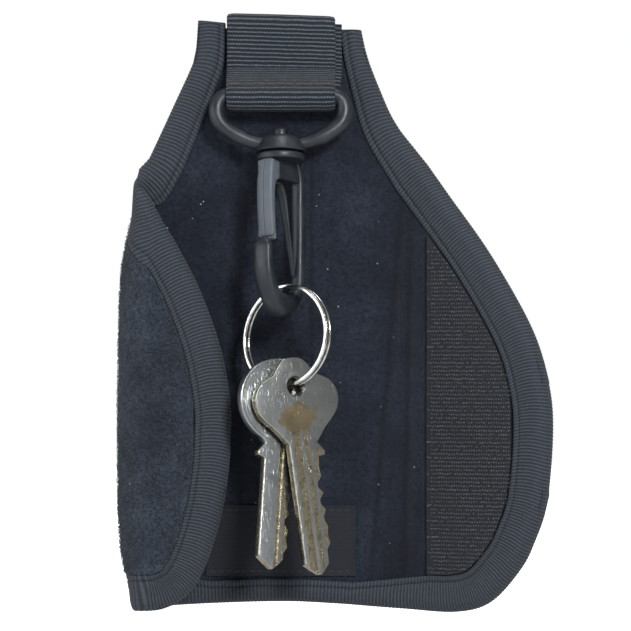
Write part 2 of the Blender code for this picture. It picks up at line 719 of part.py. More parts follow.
def make_webbing(looks):
    line = webbing_line()
    turn = min(range(len(line)), key=lambda i: line[i][1] if i < len(line) // 2 else 1.0)
    work = bmesh.new()
    rows = []
    for i, (depth, height) in enumerate(line):
        share = max(0.0, min(1.0, (turn - i) / (RAMP_STEPS + KEEPER_STEPS / 2)))
        skew = TAIL_SKEW * share
        rows.append([work.verts.new((skew + side * WEBBING_WIDTH / 2, -depth, height))
                     for side in (-1, 1)])
    for a, b in zip(rows, rows[1:]):
        work.faces.new((a[0], a[1], b[1], b[0]))
    mesh = bpy.data.meshes.new("belt_webbing")
    work.to_mesh(mesh)
    work.free()
    piece = new_object("belt_webbing", mesh, looks["webbing"], None)
    wall = piece.modifiers.new("Thickness", "SOLIDIFY")
    wall.thickness = WEBBING_THICKNESS
    wall.offset = 0.0
    wall.use_even_offset = True
    return piece


def tube(name, points, radius, sides_setting, material, frame):
    curve = bpy.data.curves.new(name, "CURVE")
    curve.dimensions = "3D"
    curve.bevel_depth = radius
    curve.bevel_resolution = sides_setting
    curve.use_fill_caps = True
    spline = curve.splines.new("POLY")
    spline.points.add(len(points) - 1)
    for point, place in zip(spline.points, points):
        point.co = (*place, 1.0)
    return new_object(name, to_mesh(curve, name), material, frame)


def make_dee(frames, looks):
    frame = frames["dee"]
    half = [(DEE_HALF_WIDTH * u, -DEE_DROP * v) for u, v in DEE_SHARES]
    loop = smooth(half + [(-u, v) for u, v in half[-2::-1]], 2)
    dee = tube("dee_loop", [(p.x, 0.0, p.y) for p in loop], ROD_RADIUS, 4,
               looks["plastic"], frame)
    top, bottom = -COLLAR_DROP, -COLLAR_DROP - COLLAR_HEIGHT
    rounding = COLLAR_ROUNDING
    collar = turned("collar", [
        (0.0, top), (COLLAR_TOP_RADIUS - rounding, top), (COLLAR_TOP_RADIUS, top - rounding),
        (COLLAR_BOTTOM_RADIUS, bottom + rounding), (COLLAR_BOTTOM_RADIUS - rounding, bottom),
        (0.0, bottom)], TURNED_STEPS, None, frame, CUTTERS)
    combine(dee, collar, "UNION")
    bore = cylinder("collar_bore", STEM_RADIUS + STEM_CLEARANCE,
                    COLLAR_HEIGHT + 2 * OVERRUN, (0, 0, (top + bottom) / 2), (0, 0, 1),
                    BORE_STEPS, frame)
    combine(dee, bore)
    return shade(dee)


def hook_outline(shares, top, depth):
    return smooth([(HOOK_REACH * u, -top - depth * v) for u, v in shares], 2, closed=True)


def level_plate(name, outline, thickness, material, frame, collection=PARTS):
    """A plate in the hook's plane, centred on it."""
    return plate(name, outline, -thickness / 2, thickness / 2, material, frame, collection)


def make_hook(frames, looks):
    frame = frames["hook"]
    hook = level_plate("hook_body", hook_outline(HOOK_SHARES, HOOK_TOP, HOOK_DEPTH),
                       HOOK_THICKNESS, looks["plastic"], frame)
    bevel(hook, HOOK_ROUNDING, 3)
    drop = PIVOT_TOTAL_DROP
    low = drop + PIVOT_BOSS_RADIUS
    web = [(-WEB_BACK, -FLANGE_TOP - FLANGE_THICKNESS / 2), (-WEB_BACK, -low)]
    for i in range(BOSS_STEPS + 1):
        angle = -math.pi / 2 + math.pi / 2 * i / BOSS_STEPS
        web.append((PIVOT_FORWARD + PIVOT_BOSS_RADIUS * math.cos(angle),
                    -drop + PIVOT_BOSS_RADIUS * math.sin(angle)))
    web.append((PIVOT_FORWARD + PIVOT_BOSS_RADIUS / 2, -FLANGE_TOP - FLANGE_THICKNESS / 2))
    combine(hook, level_plate("hook_web", web, WEB_THICKNESS, None, frame, CUTTERS), "UNION")
    pin = cylinder("gate_pin", PIVOT_RADIUS, GATE_WIDTH, (PIVOT_FORWARD, 0, -drop), (0, 1, 0),
                   PIN_STEPS, frame)
    combine(hook, pin, "UNION")
    collar_top = -COLLAR_DROP
    head_low = collar_top + REST_GAP
    head_high = head_low + HEAD_HEIGHT
    rounding = FLANGE_ROUNDING
    stem = turned("swivel_stem", [
        (0.0, head_high), (STEM_RADIUS, head_high), (HEAD_RADIUS, head_low + rounding),
        (HEAD_RADIUS, head_low), (STEM_RADIUS, head_low), (STEM_RADIUS, -FLANGE_TOP),
        (FLANGE_RADIUS - rounding, -FLANGE_TOP), (FLANGE_RADIUS, -FLANGE_TOP - rounding),
        (FLANGE_RADIUS, -HOOK_TOP + rounding), (FLANGE_RADIUS - rounding, -HOOK_TOP),
        (0.0, -HOOK_TOP)], TURNED_STEPS, None, frame, CUTTERS)
    combine(hook, stem, "UNION")
    slot = block("prong_slot", (PRONG_SLOT, 4 * HEAD_RADIUS, 2 * HEAD_HEIGHT),
                 (0, 0, head_high), frame)
    combine(hook, slot)
    return shade(hook)


def make_gate(frames, looks):
    frame = frames["gate"]
    top = HOOK_TOP + GATE_TOP_GAP
    gate = level_plate("gate_lever", hook_outline(GATE_SHARES, top, GATE_DROP - GATE_TOP_GAP),
                       GATE_WIDTH, looks["gate"], frame)
    bevel(gate, GATE_ROUNDING, 2)
    pivot = (PIVOT_FORWARD, 0, -PIVOT_TOTAL_DROP)
    bore = cylinder("gate_bore", PIVOT_RADIUS + PIVOT_CLEARANCE, GATE_WIDTH + 2 * OVERRUN,
                    pivot, (0, 1, 0), PIN_STEPS, frame)
    slot = cylinder("gate_slot", GATE_SLOT_RADIUS, WEB_THICKNESS + 2 * REST_GAP, pivot,
                    (0, 1, 0), BORE_STEPS, frame)
    combine(gate, slot)
    combine(gate, bore)
    spring = hook_outline(SPRING_SHARES, top, GATE_DROP - GATE_TOP_GAP)
    level_plate("gate_spring", spring, SPRING_WIDTH, looks["gate"], frame)
    return shade(gate)


def wire_offset(station):
    """How far along the ring's axis the middle of its two turns lies, at an angle from the
    bottom."""
    share = ((station - RING_END_ANGLE) % math.tau) / math.tau
    return COIL_PITCH * (share - 0.5)


def ring_points():
    count = COIL_TURNS * COIL_STEPS
    points = []
    for i in range(count + 1):
        angle = RING_END_ANGLE + math.tau * i / COIL_STEPS
        axial = COIL_PITCH * (i / COIL_STEPS - COIL_TURNS / 2)
        points.append(Vector((RING_RADIUS * math.cos(angle), RING_RADIUS * math.sin(angle),
                              axial)))
    return points


def least_self_gap(points):
    """Least way between one turn and the next, less the wire's own thickness."""
    apart = COIL_STEPS // 2
    nearest = min((a - b).length for i, a in enumerate(points) for b in points[i + apart:])
    return nearest - WIRE_AXIAL


def make_ring(frames, looks):
    points = ring_points()
    print("split ring, least gap between turns in mm:", round(least_self_gap(points) / MM, 3))
    half_r, half_a, cut = WIRE_RADIAL / 2, WIRE_AXIAL / 2, WIRE_ROUNDING
    section = [(half_r - cut, -half_a), (half_r, cut - half_a), (half_r, half_a - cut),
               (half_r - cut, half_a), (cut - half_r, half_a), (-half_r, half_a - cut),
               (-half_r, cut - half_a), (cut - half_r, -half_a)]
    profile = bpy.data.curves.new("wire_section", "CURVE")
    profile.dimensions = "2D"
    spline = profile.splines.new("POLY")
    spline.points.add(len(section) - 1)
    for point, place in zip(spline.points, section):
        point.co = (*place, 0.0, 1.0)
    spline.use_cyclic_u = True
    guide = bpy.data.objects.new("wire_section", profile)
    guide.hide_render = True
    CUTTERS.objects.link(guide)
    curve = bpy.data.curves.new("split_ring", "CURVE")
    curve.dimensions = "3D"
    curve.twist_mode = "Z_UP"
    curve.bevel_mode = "OBJECT"
    curve.bevel_object = guide
    curve.use_fill_caps = True
    path = curve.splines.new("POLY")
    path.points.add(len(points) - 1)
    for point, place in zip(path.points, points):
        point.co = (*place, 1.0)
    ring = new_object("split_ring", to_mesh(curve, "split_ring"), looks["ring"], frames["ring"])
    ring.rotation_euler = (0, math.pi / 2, 0)
    ring.location = (RING_ALONG_HOOK, RING_SIDEWAYS, BOTTOM_BAR_DROP - RING_CENTRE_DROP)
    return shade(ring)


def bitted_edge(side_x, top, shares):
    """The blade's cut edge, from the shoulder down to the tip."""
    points = []
    for i, share in enumerate(shares):
        middle = top - BITTING_SPACING * (i + BITTING_START_SHARE)
        depth = BITTING_DEPTH * share
        peak = BITTING_SPACING / 2
        points.append((side_x, middle + peak))
        points.append((side_x - depth, middle + BITTING_FLAT / 2))
        points.append((side_x - depth, middle - BITTING_FLAT / 2))
    return points


def key_outline(right, left, neck, length, stop_side, shares):
    """Bow, stop, bitted edge, tip and back of the blade, clockwise from the top."""
    half = BLADE_WIDTH / 2
    end = neck - length
    points = list(right)
    if stop_side > 0:
        points += [(half, neck), (half + STOP_WIDTH, neck - STOP_DROP + STOP_WIDTH / 2),
                   (half + STOP_WIDTH / 2, neck - STOP_DROP)]
    points += [(half, neck - STOP_DROP)]
    points += bitted_edge(half, neck - STOP_DROP, shares)
    points += [(half - BITTING_DEPTH * shares[-1], end + BLADE_TIP), (0.0, end),
               (-half, end + BLADE_TIP)]
    if stop_side < 0:
        points += [(-half, neck - STOP_DROP - STOP_WIDTH / 4),
                   (-half - STOP_WIDTH / 2, neck - STOP_DROP),
                   (-half - STOP_WIDTH, neck - STOP_DROP + STOP_WIDTH / 2)]
    points += [(-half, neck)]
    points += list(left)
    return points


def finish_key(key, frame, neck, blade, groove_shares):
    bevel(key, KEY_EDGE_BEVEL, 1, 60.0)
    hole = cylinder(key.name + "_hole", KEY_HOLE_RADIUS, KEY_THICKNESS + 2 * OVERRUN,
                    (0, 0, -KEY_SEAT_DROP), (0, 1, 0), HOLE_STEPS, frame)
    combine(key, hole)
    bottom = neck - blade
    length = blade + STOP_DROP + OVERRUN
    for i, share in enumerate(groove_shares):
        place = (BLADE_WIDTH * (share - 0.5), -KEY_THICKNESS / 2,
                 bottom - OVERRUN + length / 2)
        cut = block(f"{key.name}_groove_{i}", (GROOVE_WIDTH, 2 * GROOVE_DEPTH, length), place,
                    frame)
        combine(key, cut)
    return shade(key, 30.0)


def make_front_key(frames, looks):
    frame = frames["front_key"]
    half = [(FRONT_BOW_HALF_WIDTH * u, KEY_TOP - FRONT_BOW_HEIGHT * v)
            for u, v in FRONT_BOW_SHARES]
    neck = KEY_TOP - FRONT_BOW_HEIGHT
    right = [tuple(p) for p in smooth(half, 2)]
    left = [(-x, z) for x, z in right[:0:-1]]
    outline = key_outline(right, left, neck, FRONT_BLADE_LENGTH, 1, FRONT_BITTING_SHARES)
    key = level_plate("front_key", outline, KEY_THICKNESS, looks["key"], frame)
    return finish_key(key, frame, neck, FRONT_BLADE_LENGTH, FRONT_GROOVE_SHARES)


def oval(half_width, half_height, middle, steps=RIM_STEPS):
    turns = [math.tau * (i + 0.5) / steps for i in range(steps)]
    return [(half_width * math.sin(a), middle + half_height * math.cos(a)) for a in turns]


def make_back_key(frames, looks):
    frame = frames["back_key"]
    middle = KEY_TOP - BACK_BOW_HEIGHT / 2
    neck = KEY_TOP - BACK_BOW_HEIGHT
    rim = oval(BACK_BOW_HALF_WIDTH, BACK_BOW_HEIGHT / 2, middle)
    half = BLADE_WIDTH / 2
    right = [p for p in rim[: RIM_STEPS // 2] if p[1] > neck and (p[1] > middle or p[0] > half)]
    left = [(-x, z) for x, z in right[::-1]]
    outline = key_outline(right, left, neck, BACK_BLADE_LENGTH, -1, BACK_BITTING_SHARES)
    key = level_plate("back_key", outline, KEY_THICKNESS, looks["back_key"], frame)
    finish_key(key, frame, neck, BACK_BLADE_LENGTH, BACK_GROOVE_SHARES)
    outer, inner = RIM_SETBACK, RIM_SETBACK + RIM_WIDTH
    raised = level_plate("bow_rim", oval(BACK_BOW_HALF_WIDTH - outer,
                                         BACK_BOW_HEIGHT / 2 - outer, middle),
                         KEY_THICKNESS + 2 * RIM_HEIGHT, None, frame, CUTTERS)
    dish = level_plate("bow_dish", oval(BACK_BOW_HALF_WIDTH - inner,
                                        BACK_BOW_HEIGHT / 2 - inner, middle),
                       KEY_THICKNESS + 2 * OVERRUN, None, frame, CUTTERS)
    combine(raised, dish)
    return combine(key, raised, "UNION")


def make_looks():
    return {
        "cover": finish("cover_cloth", (0.012, 0.014, 0.018), 0.9),
        "foam": finish("foam", (0.10, 0.10, 0.11), 0.95),
        "lining": finish("brushed_lining", (0.012, 0.017, 0.026), 0.95),
        "gusset": finish("folded_cloth", (0.014, 0.018, 0.024), 0.95),
        "binding": finish("ribbed_tape", (0.045, 0.05, 0.058), 0.8),
        "webbing": finish("webbing", (0.022, 0.025, 0.03), 0.7),
        "label": finish("label_weave", (0.03, 0.034, 0.04), 0.7),
        "pile": finish("loop_pile", (0.016, 0.02, 0.027), 1.0),
        "hook_tape": finish("hook_tape_nylon", (0.014, 0.016, 0.02), 0.6),
        "plastic": finish("satin_plastic", (0.02, 0.021, 0.023), 0.4),
        "gate": finish("gate_plastic", (0.13, 0.14, 0.15), 0.6),
        "ring": finish("ring_steel", (0.72, 0.72, 0.70), 0.2, 1.0),
        "key": finish("front_key_nickel", (0.55, 0.53, 0.48), 0.35, 1.0),
        "back_key": finish("back_key_nickel", (0.60, 0.60, 0.58), 0.3, 1.0),
    }


def main():
    clear_scene()
    looks = make_looks()
    frames = make_frames()
    make_body(frames, looks)
    make_folds(frames, looks)
    make_label(looks)
    make_webbing(looks)
    make_dee(frames, looks)
    make_hook(frames, looks)
    make_gate(frames, looks)
    make_ring(frames, looks)
    make_front_key(frames, looks)
    make_back_key(frames, looks)
    bpy.context.view_layer.update()


main()
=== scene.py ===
import math
import random

import bmesh
import bpy
from mathutils import Matrix, Vector, noise


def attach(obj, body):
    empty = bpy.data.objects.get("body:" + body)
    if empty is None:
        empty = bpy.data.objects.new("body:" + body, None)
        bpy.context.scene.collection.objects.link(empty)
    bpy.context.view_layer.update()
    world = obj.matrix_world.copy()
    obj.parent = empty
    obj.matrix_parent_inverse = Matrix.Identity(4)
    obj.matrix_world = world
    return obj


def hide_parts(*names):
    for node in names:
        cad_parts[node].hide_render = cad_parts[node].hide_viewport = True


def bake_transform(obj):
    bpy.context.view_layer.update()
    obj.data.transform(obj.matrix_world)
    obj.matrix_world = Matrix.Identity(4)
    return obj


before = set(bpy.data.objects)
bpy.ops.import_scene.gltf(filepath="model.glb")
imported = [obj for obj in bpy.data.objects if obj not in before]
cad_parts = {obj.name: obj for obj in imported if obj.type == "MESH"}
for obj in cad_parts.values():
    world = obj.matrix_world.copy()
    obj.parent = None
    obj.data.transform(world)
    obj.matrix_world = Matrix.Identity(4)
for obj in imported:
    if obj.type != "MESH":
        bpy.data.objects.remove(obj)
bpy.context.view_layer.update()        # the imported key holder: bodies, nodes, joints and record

mm = 0.001
random.seed(11)

# The cloth's flat pattern, as shares of the reach and of the height
pattern = {
    "height": 142.3 * mm,
    "topAboveBelt": 47.3 * mm,
    "leftCrease": 34.3 * mm,
    "rightCrease": 24.5 * mm,
    "gusset": 6.5 * mm,
    "leftFlap": 22.1 * mm,
    "rightFlap": 36.5 * mm,
    "leftEdge": [
        (0.318, 0.000), (0.328, 0.056), (0.348, 0.083), (0.404, 0.137), (0.474, 0.204),
        (0.518, 0.244), (0.545, 0.262), (0.575, 0.270), (0.615, 0.272), (0.650, 0.276),
        (0.680, 0.293), (0.709, 0.3155), (0.752, 0.350), (0.799, 0.384), (0.886, 0.460),
        (0.962, 0.555), (1.000, 0.649), (1.000, 0.705),
        (0.995, 0.754), (0.968, 0.830), (0.916, 0.909), (0.847, 0.965), (0.752, 0.992),
        (0.649, 0.997), (0.545, 0.996), (0.305, 0.989), (0.000, 0.985)],
    "rightEdge": [
        (0.286, 0.016), (0.305, 0.056), (0.345, 0.112), (0.396, 0.171), (0.467, 0.221),
        (0.585, 0.294), (0.761, 0.401), (0.919, 0.521), (0.982, 0.610), (1.000, 0.691),
        (0.978, 0.812), (0.930, 0.880), (0.874, 0.928), (0.761, 0.982), (0.627, 1.000),
        (0.419, 0.997), (0.200, 0.989), (0.000, 0.985)],
}
# How the flaps fold at rest, round hinge lines at one depth in the cloth
folding = {
    "hingeDepth": 4.9 * mm,
    "leftBends": (math.radians(90.0), math.radians(93.0)),
    "rightBends": (math.radians(14.0), math.radians(14.0)),
    "leftEase": 2.4 * mm,
    "rightEase": 3.1 * mm,
    "squeeze": [(-95, 0.28), (-90, 0.36), (-86, 0.50), (-80, 0.68), (-70, 0.78), (-45, 0.80),
                (-20, 0.70), (-12, 0.62), (-6, 0.45), (0, 0.25), (10, 0.15)],
    "limitHeight": -45 * mm,
}
layers = {
    "cover": (0.0 * mm, 0.8 * mm),
    "foam": (1.0 * mm, 3.0 * mm),
    "lining": (3.2 * mm, 3.8 * mm),
}
leftEnd = pattern["leftCrease"] + pattern["gusset"]
rightEnd = pattern["rightCrease"] + pattern["gusset"]
leftReach = leftEnd + pattern["leftFlap"]
rightReach = rightEnd + pattern["rightFlap"]
leftMid = pattern["leftCrease"] + pattern["gusset"] / 2
rightMid = pattern["rightCrease"] + pattern["gusset"] / 2


# helpers for shapes

def smoothLine(points, steps, closed=False):
    points = [Vector(p) for p in points]
    ring = [points[-1]] + points + points[:2] if closed else [points[0]] + points + [points[-1]]
    line = []
    for a, b, c, d in zip(ring, ring[1:], ring[2:], ring[3:]):
        for i in range(steps):
            t = i / steps
            line.append(0.5 * (2 * b + (c - a) * t + (2 * a - 5 * b + 4 * c - d) * t**2
                               + (3 * b - a - 3 * c + d) * t**3))
    if not closed:
        line.append(points[-1])
    return line


def evenLine(points, step, closed=False):
    # the same line with its points a nearly even step apart
    if closed:
        points = points + points[:1]
    reach = [0.0]
    for a, b in zip(points, points[1:]):
        reach.append(reach[-1] + (b - a).length)
    count = max(2, round(reach[-1] / step))
    line, k = [], 0
    for i in range(count if closed else count + 1):
        goal = reach[-1] * i / count
        while k < len(points) - 2 and reach[k + 1] < goal:
            k += 1
        span = reach[k + 1] - reach[k]
        line.append(points[k].lerp(points[k + 1], (goal - reach[k]) / span if span else 0.0))
    return line


def easeStep(t):
    t = min(1.0, max(0.0, t))
    return t * t * (3 - 2 * t)


def finishMesh(work, name, material, angle=40.0):
    mesh = bpy.data.meshes.new(name)
    work.to_mesh(mesh)
    work.free()
    mesh.shade_smooth()
    mesh.set_sharp_from_angle(angle=math.radians(angle))
    piece = bpy.data.objects.new(name, mesh)
    bpy.context.scene.collection.objects.link(piece)
    if material:
        mesh.materials.append(material)
    return piece


def gridShape(name, rows, cols, place, material, uvSize=(1.0, 1.0), weld=False, caps=False,
              angle=40.0, uvStart=0.0):
    # a grid of rows by cols cells, each corner put where place says
    work = bmesh.new()
    along = work.loops.layers.uv.new("UVMap")
    bmesh.ops.create_grid(work, x_segments=rows, y_segments=cols, size=0.5, calc_uvs=True)
    for face in work.faces:
        for loop in face.loops:
            u, v = loop[along].uv
            loop[along].uv = (uvStart + u * uvSize[0], v * uvSize[1])
    for vert in work.verts:
        vert.co = place(round((vert.co.x + 0.5) * rows), round((vert.co.y + 0.5) * cols))
    if weld:
        bmesh.ops.remove_doubles(work, verts=work.verts, dist=0.0005 * mm)
    if caps:
        rim = [side for side in work.edges if side.is_boundary]
        bmesh.ops.holes_fill(work, edges=rim, sides=0)
    bmesh.ops.recalc_face_normals(work, faces=work.faces)
    return finishMesh(work, name, material, angle)


def faceRow(k, rows):
    # the row and the side of a closed column: up the front face and down the back face
    k = k % (2 * rows + 2)
    return (k, True) if k <= rows else (2 * rows + 1 - k, False)


def applyModifiers(piece):
    graph = bpy.context.evaluated_depsgraph_get()
    mesh = bpy.data.meshes.new_from_object(piece.evaluated_get(graph))
    old = piece.data
    piece.modifiers.clear()
    piece.data = mesh
    bpy.data.meshes.remove(old)
    return piece


def settle(piece, place):
    # puts a piece's place into its mesh, so that its object stays at the origin
    piece.data.transform(place)
    if place.determinant() < 0:
        piece.data.flip_normals()
    return piece


def joinPieces(name, parts):
    work = bmesh.new()
    for part in parts:
        work.from_mesh(part.data)
    mesh = bpy.data.meshes.new(name)
    work.to_mesh(mesh)
    work.free()
    for material in parts[0].data.materials:
        mesh.materials.append(material)
    for part in parts:
        bpy.data.objects.remove(part, do_unlink=True)
    mesh.set_sharp_from_angle(angle=math.radians(40.0))
    piece = bpy.data.objects.new(name, mesh)
    bpy.context.scene.collection.objects.link(piece)
    return piece


def carve(piece, tool, operation="DIFFERENCE"):
    # the cut is made at a thousand times the size, where the solver keeps small faces
    larger, least = 1000.0, 0.002
    for shape in (piece, tool):
        shape.data.transform(Matrix.Scale(larger, 4))
    change = piece.modifiers.new("Cut", "BOOLEAN")
    change.operation = operation
    change.object = tool
    change.solver = "EXACT"
    change.use_self = True
    applyModifiers(piece)
    bpy.data.objects.remove(tool, do_unlink=True)
    work = bmesh.new()
    work.from_mesh(piece.data)
    bmesh.ops.remove_doubles(work, verts=work.verts, dist=least)
    bmesh.ops.dissolve_degenerate(work, edges=work.edges, dist=least)
    work.to_mesh(piece.data)
    work.free()
    piece.data.transform(Matrix.Scale(1 / larger, 4))
    piece.data.shade_smooth()
    piece.data.set_sharp_from_angle(angle=math.radians(35.0))
    return piece


# materials

napLook = {
    "contrast": (0.3, 0.7), "fineShare": 0.4, "tuftShare": 0.6, "tuftRoughness": 0.65,
    "broadScale": 75.0, "broadLeast": 0.45, "broadShare": 0.75, "lintFrom": 0.55,
    "lintSize": 0.10,
}
ribLook = {
    "driftScale": 350.0, "drift": 1.6, "slant": 0.5, "yarnContrast": (-0.7, 0.5),
    "brokenScale": 1500.0, "brokenRoughness": 0.7, "brokenContrast": (0.25, 0.7), "worn": 0.65,
}
wearLook = {
    "stretch": (1.0, 1.0, 0.12), "turn": (0.4, 0.7, 0.2), "lineScale": 2600.0,
    "scratch": (0.6, 0.72), "contrast": (0.3, 0.7), "mask": (0.45, 0.7),
    "bump": 0.00002, "grain": 3500.0, "dents": 160.0,
}
# the colour and softness of the painted shade along the lining's folds
foldShadeLook = {"soft": 0.15, "color": (0.006, 0.007, 0.010)}
# the size and contrast of the painted sheen's patches on the webbing
sheenPatchLook = {"scale": 900.0, "contrast": (0.3, 0.65)}
patchLook = {"scale": 420.0, "ragged": 1.3, "rim": (1.62, 1.42)}


def feed(tree, socket, value):
    # a number or a colour is set, and another node's output is linked
    if isinstance(value, bpy.types.NodeSocket):
        tree.links.new(value, socket)
    else:
        socket.default_value = (*value, 1.0) if isinstance(value, tuple) else value


def newGroup(name, inputs, outputs):
    group = bpy.data.node_groups.new(name, "ShaderNodeTree")
    for way, sockets in (("INPUT", inputs), ("OUTPUT", outputs)):
        for label, kind in sockets.items():
            group.interface.new_socket(label, in_out=way, socket_type="NodeSocket" + kind)
    return group, group.nodes.new("NodeGroupInput").outputs, group.nodes.new("NodeGroupOutput")


def mathNode(tree, operation, a, b=None):
    node = tree.nodes.new("ShaderNodeMath")
    node.operation = operation
    for socket, value in zip(node.inputs, (a, b)):
        if value is not None:
            feed(tree, socket, value)
    return node.outputs[0]


def plus(tree, a, b):
    return mathNode(tree, "ADD", a, b)


def minus(tree, a, b):
    return mathNode(tree, "SUBTRACT", a, b)


def times(tree, a, b):
    return mathNode(tree, "MULTIPLY", a, b)


def noiseNode(tree, vector, scale, detail=3.0, roughness=0.55):
    node = tree.nodes.new("ShaderNodeTexNoise")
    for label, value in (("Vector", vector), ("Scale", scale), ("Detail", detail),
                         ("Roughness", roughness)):
        feed(tree, node.inputs[label], value)
    return node.outputs["Fac"]


def rampNode(tree, value, low, high):
    node = tree.nodes.new("ShaderNodeMapRange")
    for label, given in (("Value", value), ("From Min", low), ("From Max", high)):
        feed(tree, node.inputs[label], given)
    return node.outputs["Result"]


def mixColors(tree, factor, a, b):
    node = tree.nodes.new("ShaderNodeMix")
    node.data_type = "RGBA"
    for socket, value in ((node.inputs["Factor"], factor), (node.inputs[6], a),
                          (node.inputs[7], b)):
        feed(tree, socket, value)
    return node.outputs[2]


def splitPoint(tree, vector):
    node = tree.nodes.new("ShaderNodeSeparateXYZ")
    feed(tree, node.inputs[0], vector)
    return node.outputs


def makeFuzzGroup():
    # brushed nap: mottling of three sizes with a few pale lint specks
    group, given, end = newGroup(
        "brushedNap",
        {"Vector": "Vector", "Base": "Color", "Light": "Color", "Lint": "Color",
         "Nap Scale": "Float", "Tuft Scale": "Float", "Lint Scale": "Float",
         "Lint Size": "Float"},
        {"Color": "Color", "Height": "Float"})
    vector = given["Vector"]
    contrast = napLook["contrast"]
    fine = noiseNode(group, vector, given["Nap Scale"], 2.0)
    tuft = noiseNode(group, vector, given["Tuft Scale"], 3.0, napLook["tuftRoughness"])
    broad = noiseNode(group, vector, napLook["broadScale"])
    mottled = plus(group, times(group, rampNode(group, fine, *contrast), napLook["fineShare"]),
                   times(group, rampNode(group, tuft, *contrast), napLook["tuftShare"]))
    slow = times(group, rampNode(group, broad, *contrast), napLook["broadShare"])
    mottled = times(group, mottled, plus(group, napLook["broadLeast"], slow))
    cells = group.nodes.new("ShaderNodeTexVoronoi")
    feed(group, cells.inputs["Vector"], vector)
    feed(group, cells.inputs["Scale"], given["Lint Scale"])
    chosen = group.nodes.new("ShaderNodeSeparateColor")
    feed(group, chosen.inputs[0], cells.outputs["Color"])
    size = times(group, chosen.outputs[1], given["Lint Size"])
    speck = times(group, mathNode(group, "LESS_THAN", cells.outputs["Distance"], size),
                  mathNode(group, "GREATER_THAN", chosen.outputs[0], napLook["lintFrom"]))
    napped = mixColors(group, mottled, given["Base"], given["Light"])
    feed(group, end.inputs["Color"], mixColors(group, speck, napped, given["Lint"]))
    feed(group, end.inputs["Height"], plus(group, plus(group, fine, tuft), speck))
    return group


def makeThreadGroup():
    # woven ribs: light crests and dark furrows along u, broken into stitches across v; the crests'
    # lighter tone is a painted highlight and the furrows' darker tone a painted shade
    group, given, end = newGroup(
        "ribbedYarn",
        {"Vector": "Vector", "Base": "Color", "Light": "Color", "Rib Scale": "Float",
         "Yarn Scale": "Float", "Dots": "Float", "Crest": "Float"},
        {"Color": "Color", "Height": "Float"})
    vector = given["Vector"]
    split = splitPoint(group, vector)
    phase = times(group, split[0], given["Rib Scale"])
    drift = times(group, noiseNode(group, vector, ribLook["driftScale"], 2.0), ribLook["drift"])
    phaseHere = plus(group, phase, minus(group, drift, ribLook["drift"] / 2))
    crest = rampNode(group, mathNode(group, "COSINE", phaseHere), given["Crest"], 1.0)
    yarn = mathNode(group, "COSINE", plus(group, times(group, split[1], given["Yarn Scale"]),
                                          times(group, phase, ribLook["slant"])))
    yarn = times(group, rampNode(group, yarn, *ribLook["yarnContrast"]), given["Dots"])
    yarn = plus(group, yarn, minus(group, 1.0, given["Dots"]))
    stitch = times(group, crest, yarn)
    broken = rampNode(group, noiseNode(group, vector, ribLook["brokenScale"], 3.0,
                                       ribLook["brokenRoughness"]), *ribLook["brokenContrast"])
    worn = plus(group, 1.0 - ribLook["worn"], times(group, broken, ribLook["worn"]))
    tone = times(group, stitch, worn)
    # the rib tone in this colour paints highlight on the crests and shade in the furrows
    feed(group, end.inputs["Color"], mixColors(group, tone, given["Base"], given["Light"]))
    feed(group, end.inputs["Height"], stitch)
    return group


def makeWearGroup():
    # fine scratches and smudges on moulded plastic and plated metal
    group, given, end = newGroup(
        "handlingWear",
        {"Vector": "Vector", "Scale": "Float", "Low": "Float", "High": "Float"},
        {"Roughness": "Float", "Height": "Float", "Mask": "Float"})
    stretch = group.nodes.new("ShaderNodeMapping")
    stretch.inputs["Scale"].default_value = wearLook["stretch"]
    stretch.inputs["Rotation"].default_value = wearLook["turn"]
    feed(group, stretch.inputs["Vector"], given["Vector"])
    lines = noiseNode(group, stretch.outputs[0], wearLook["lineScale"], 2.0)
    smudge = noiseNode(group, given["Vector"], given["Scale"], 4.0)
    scratch = rampNode(group, lines, *wearLook["scratch"])
    amount = times(group, minus(group, given["High"], given["Low"]),
                   rampNode(group, smudge, *wearLook["contrast"]))
    feed(group, end.inputs["Roughness"], plus(group, given["Low"], amount))
    feed(group, end.inputs["Height"], times(group, scratch, -1.0))
    feed(group, end.inputs["Mask"], rampNode(group, smudge, *wearLook["mask"]))
    return group


effects = {"nap": makeFuzzGroup(), "yarn": makeThreadGroup(), "wear": makeWearGroup()}
print("shader groups made")


def blankMaterial(name, roughness, metallic=0.0, sheen=0.0, specular=0.5):
    material = bpy.data.materials.new(name)
    material.use_nodes = True
    tree = material.node_tree
    shader = tree.nodes["Principled BSDF"]
    for label, value in (("Roughness", roughness), ("Metallic", metallic),
                         ("Sheen Weight", sheen), ("Sheen Roughness", 0.6),
                         ("Specular IOR Level", specular)):
        shader.inputs[label].default_value = value
    return material, tree, shader


def placeEffect(tree, key, vector, **values):
    node = tree.nodes.new("ShaderNodeGroup")
    node.node_tree = effects[key]
    feed(tree, node.inputs["Vector"], vector)
    for label, value in values.items():
        feed(tree, node.inputs[label.replace("_", " ")], value)
    return node.outputs


def addBump(tree, shader, height, distance):
    bump = tree.nodes.new("ShaderNodeBump")
    bump.inputs["Strength"].default_value = 1.0
    bump.inputs["Distance"].default_value = distance
    feed(tree, bump.inputs["Height"], height)
    feed(tree, shader.inputs["Normal"], bump.outputs[0])


def objectPoint(tree):
    return tree.nodes.new("ShaderNodeTexCoord").outputs["Object"]


def surfacePoint(tree):
    return tree.nodes.new("ShaderNodeTexCoord").outputs["UV"]


def paintFoldShade(tree, color, foldShades):
    # painted shade on the brushed nap along upright folds and creases: (x at z 0, slant, half width,
    # share)
    if not foldShades:
        return color
    point = splitPoint(tree, objectPoint(tree))
    for middle, slant, wide, share in foldShades:
        line = plus(tree, times(tree, point[2], slant), middle)
        off = mathNode(tree, "ABSOLUTE", minus(tree, point[0], line))
        amount = times(tree, rampNode(tree, off, wide, wide * foldShadeLook["soft"]), share)
        color = mixColors(tree, amount, color, foldShadeLook["color"])
    return color


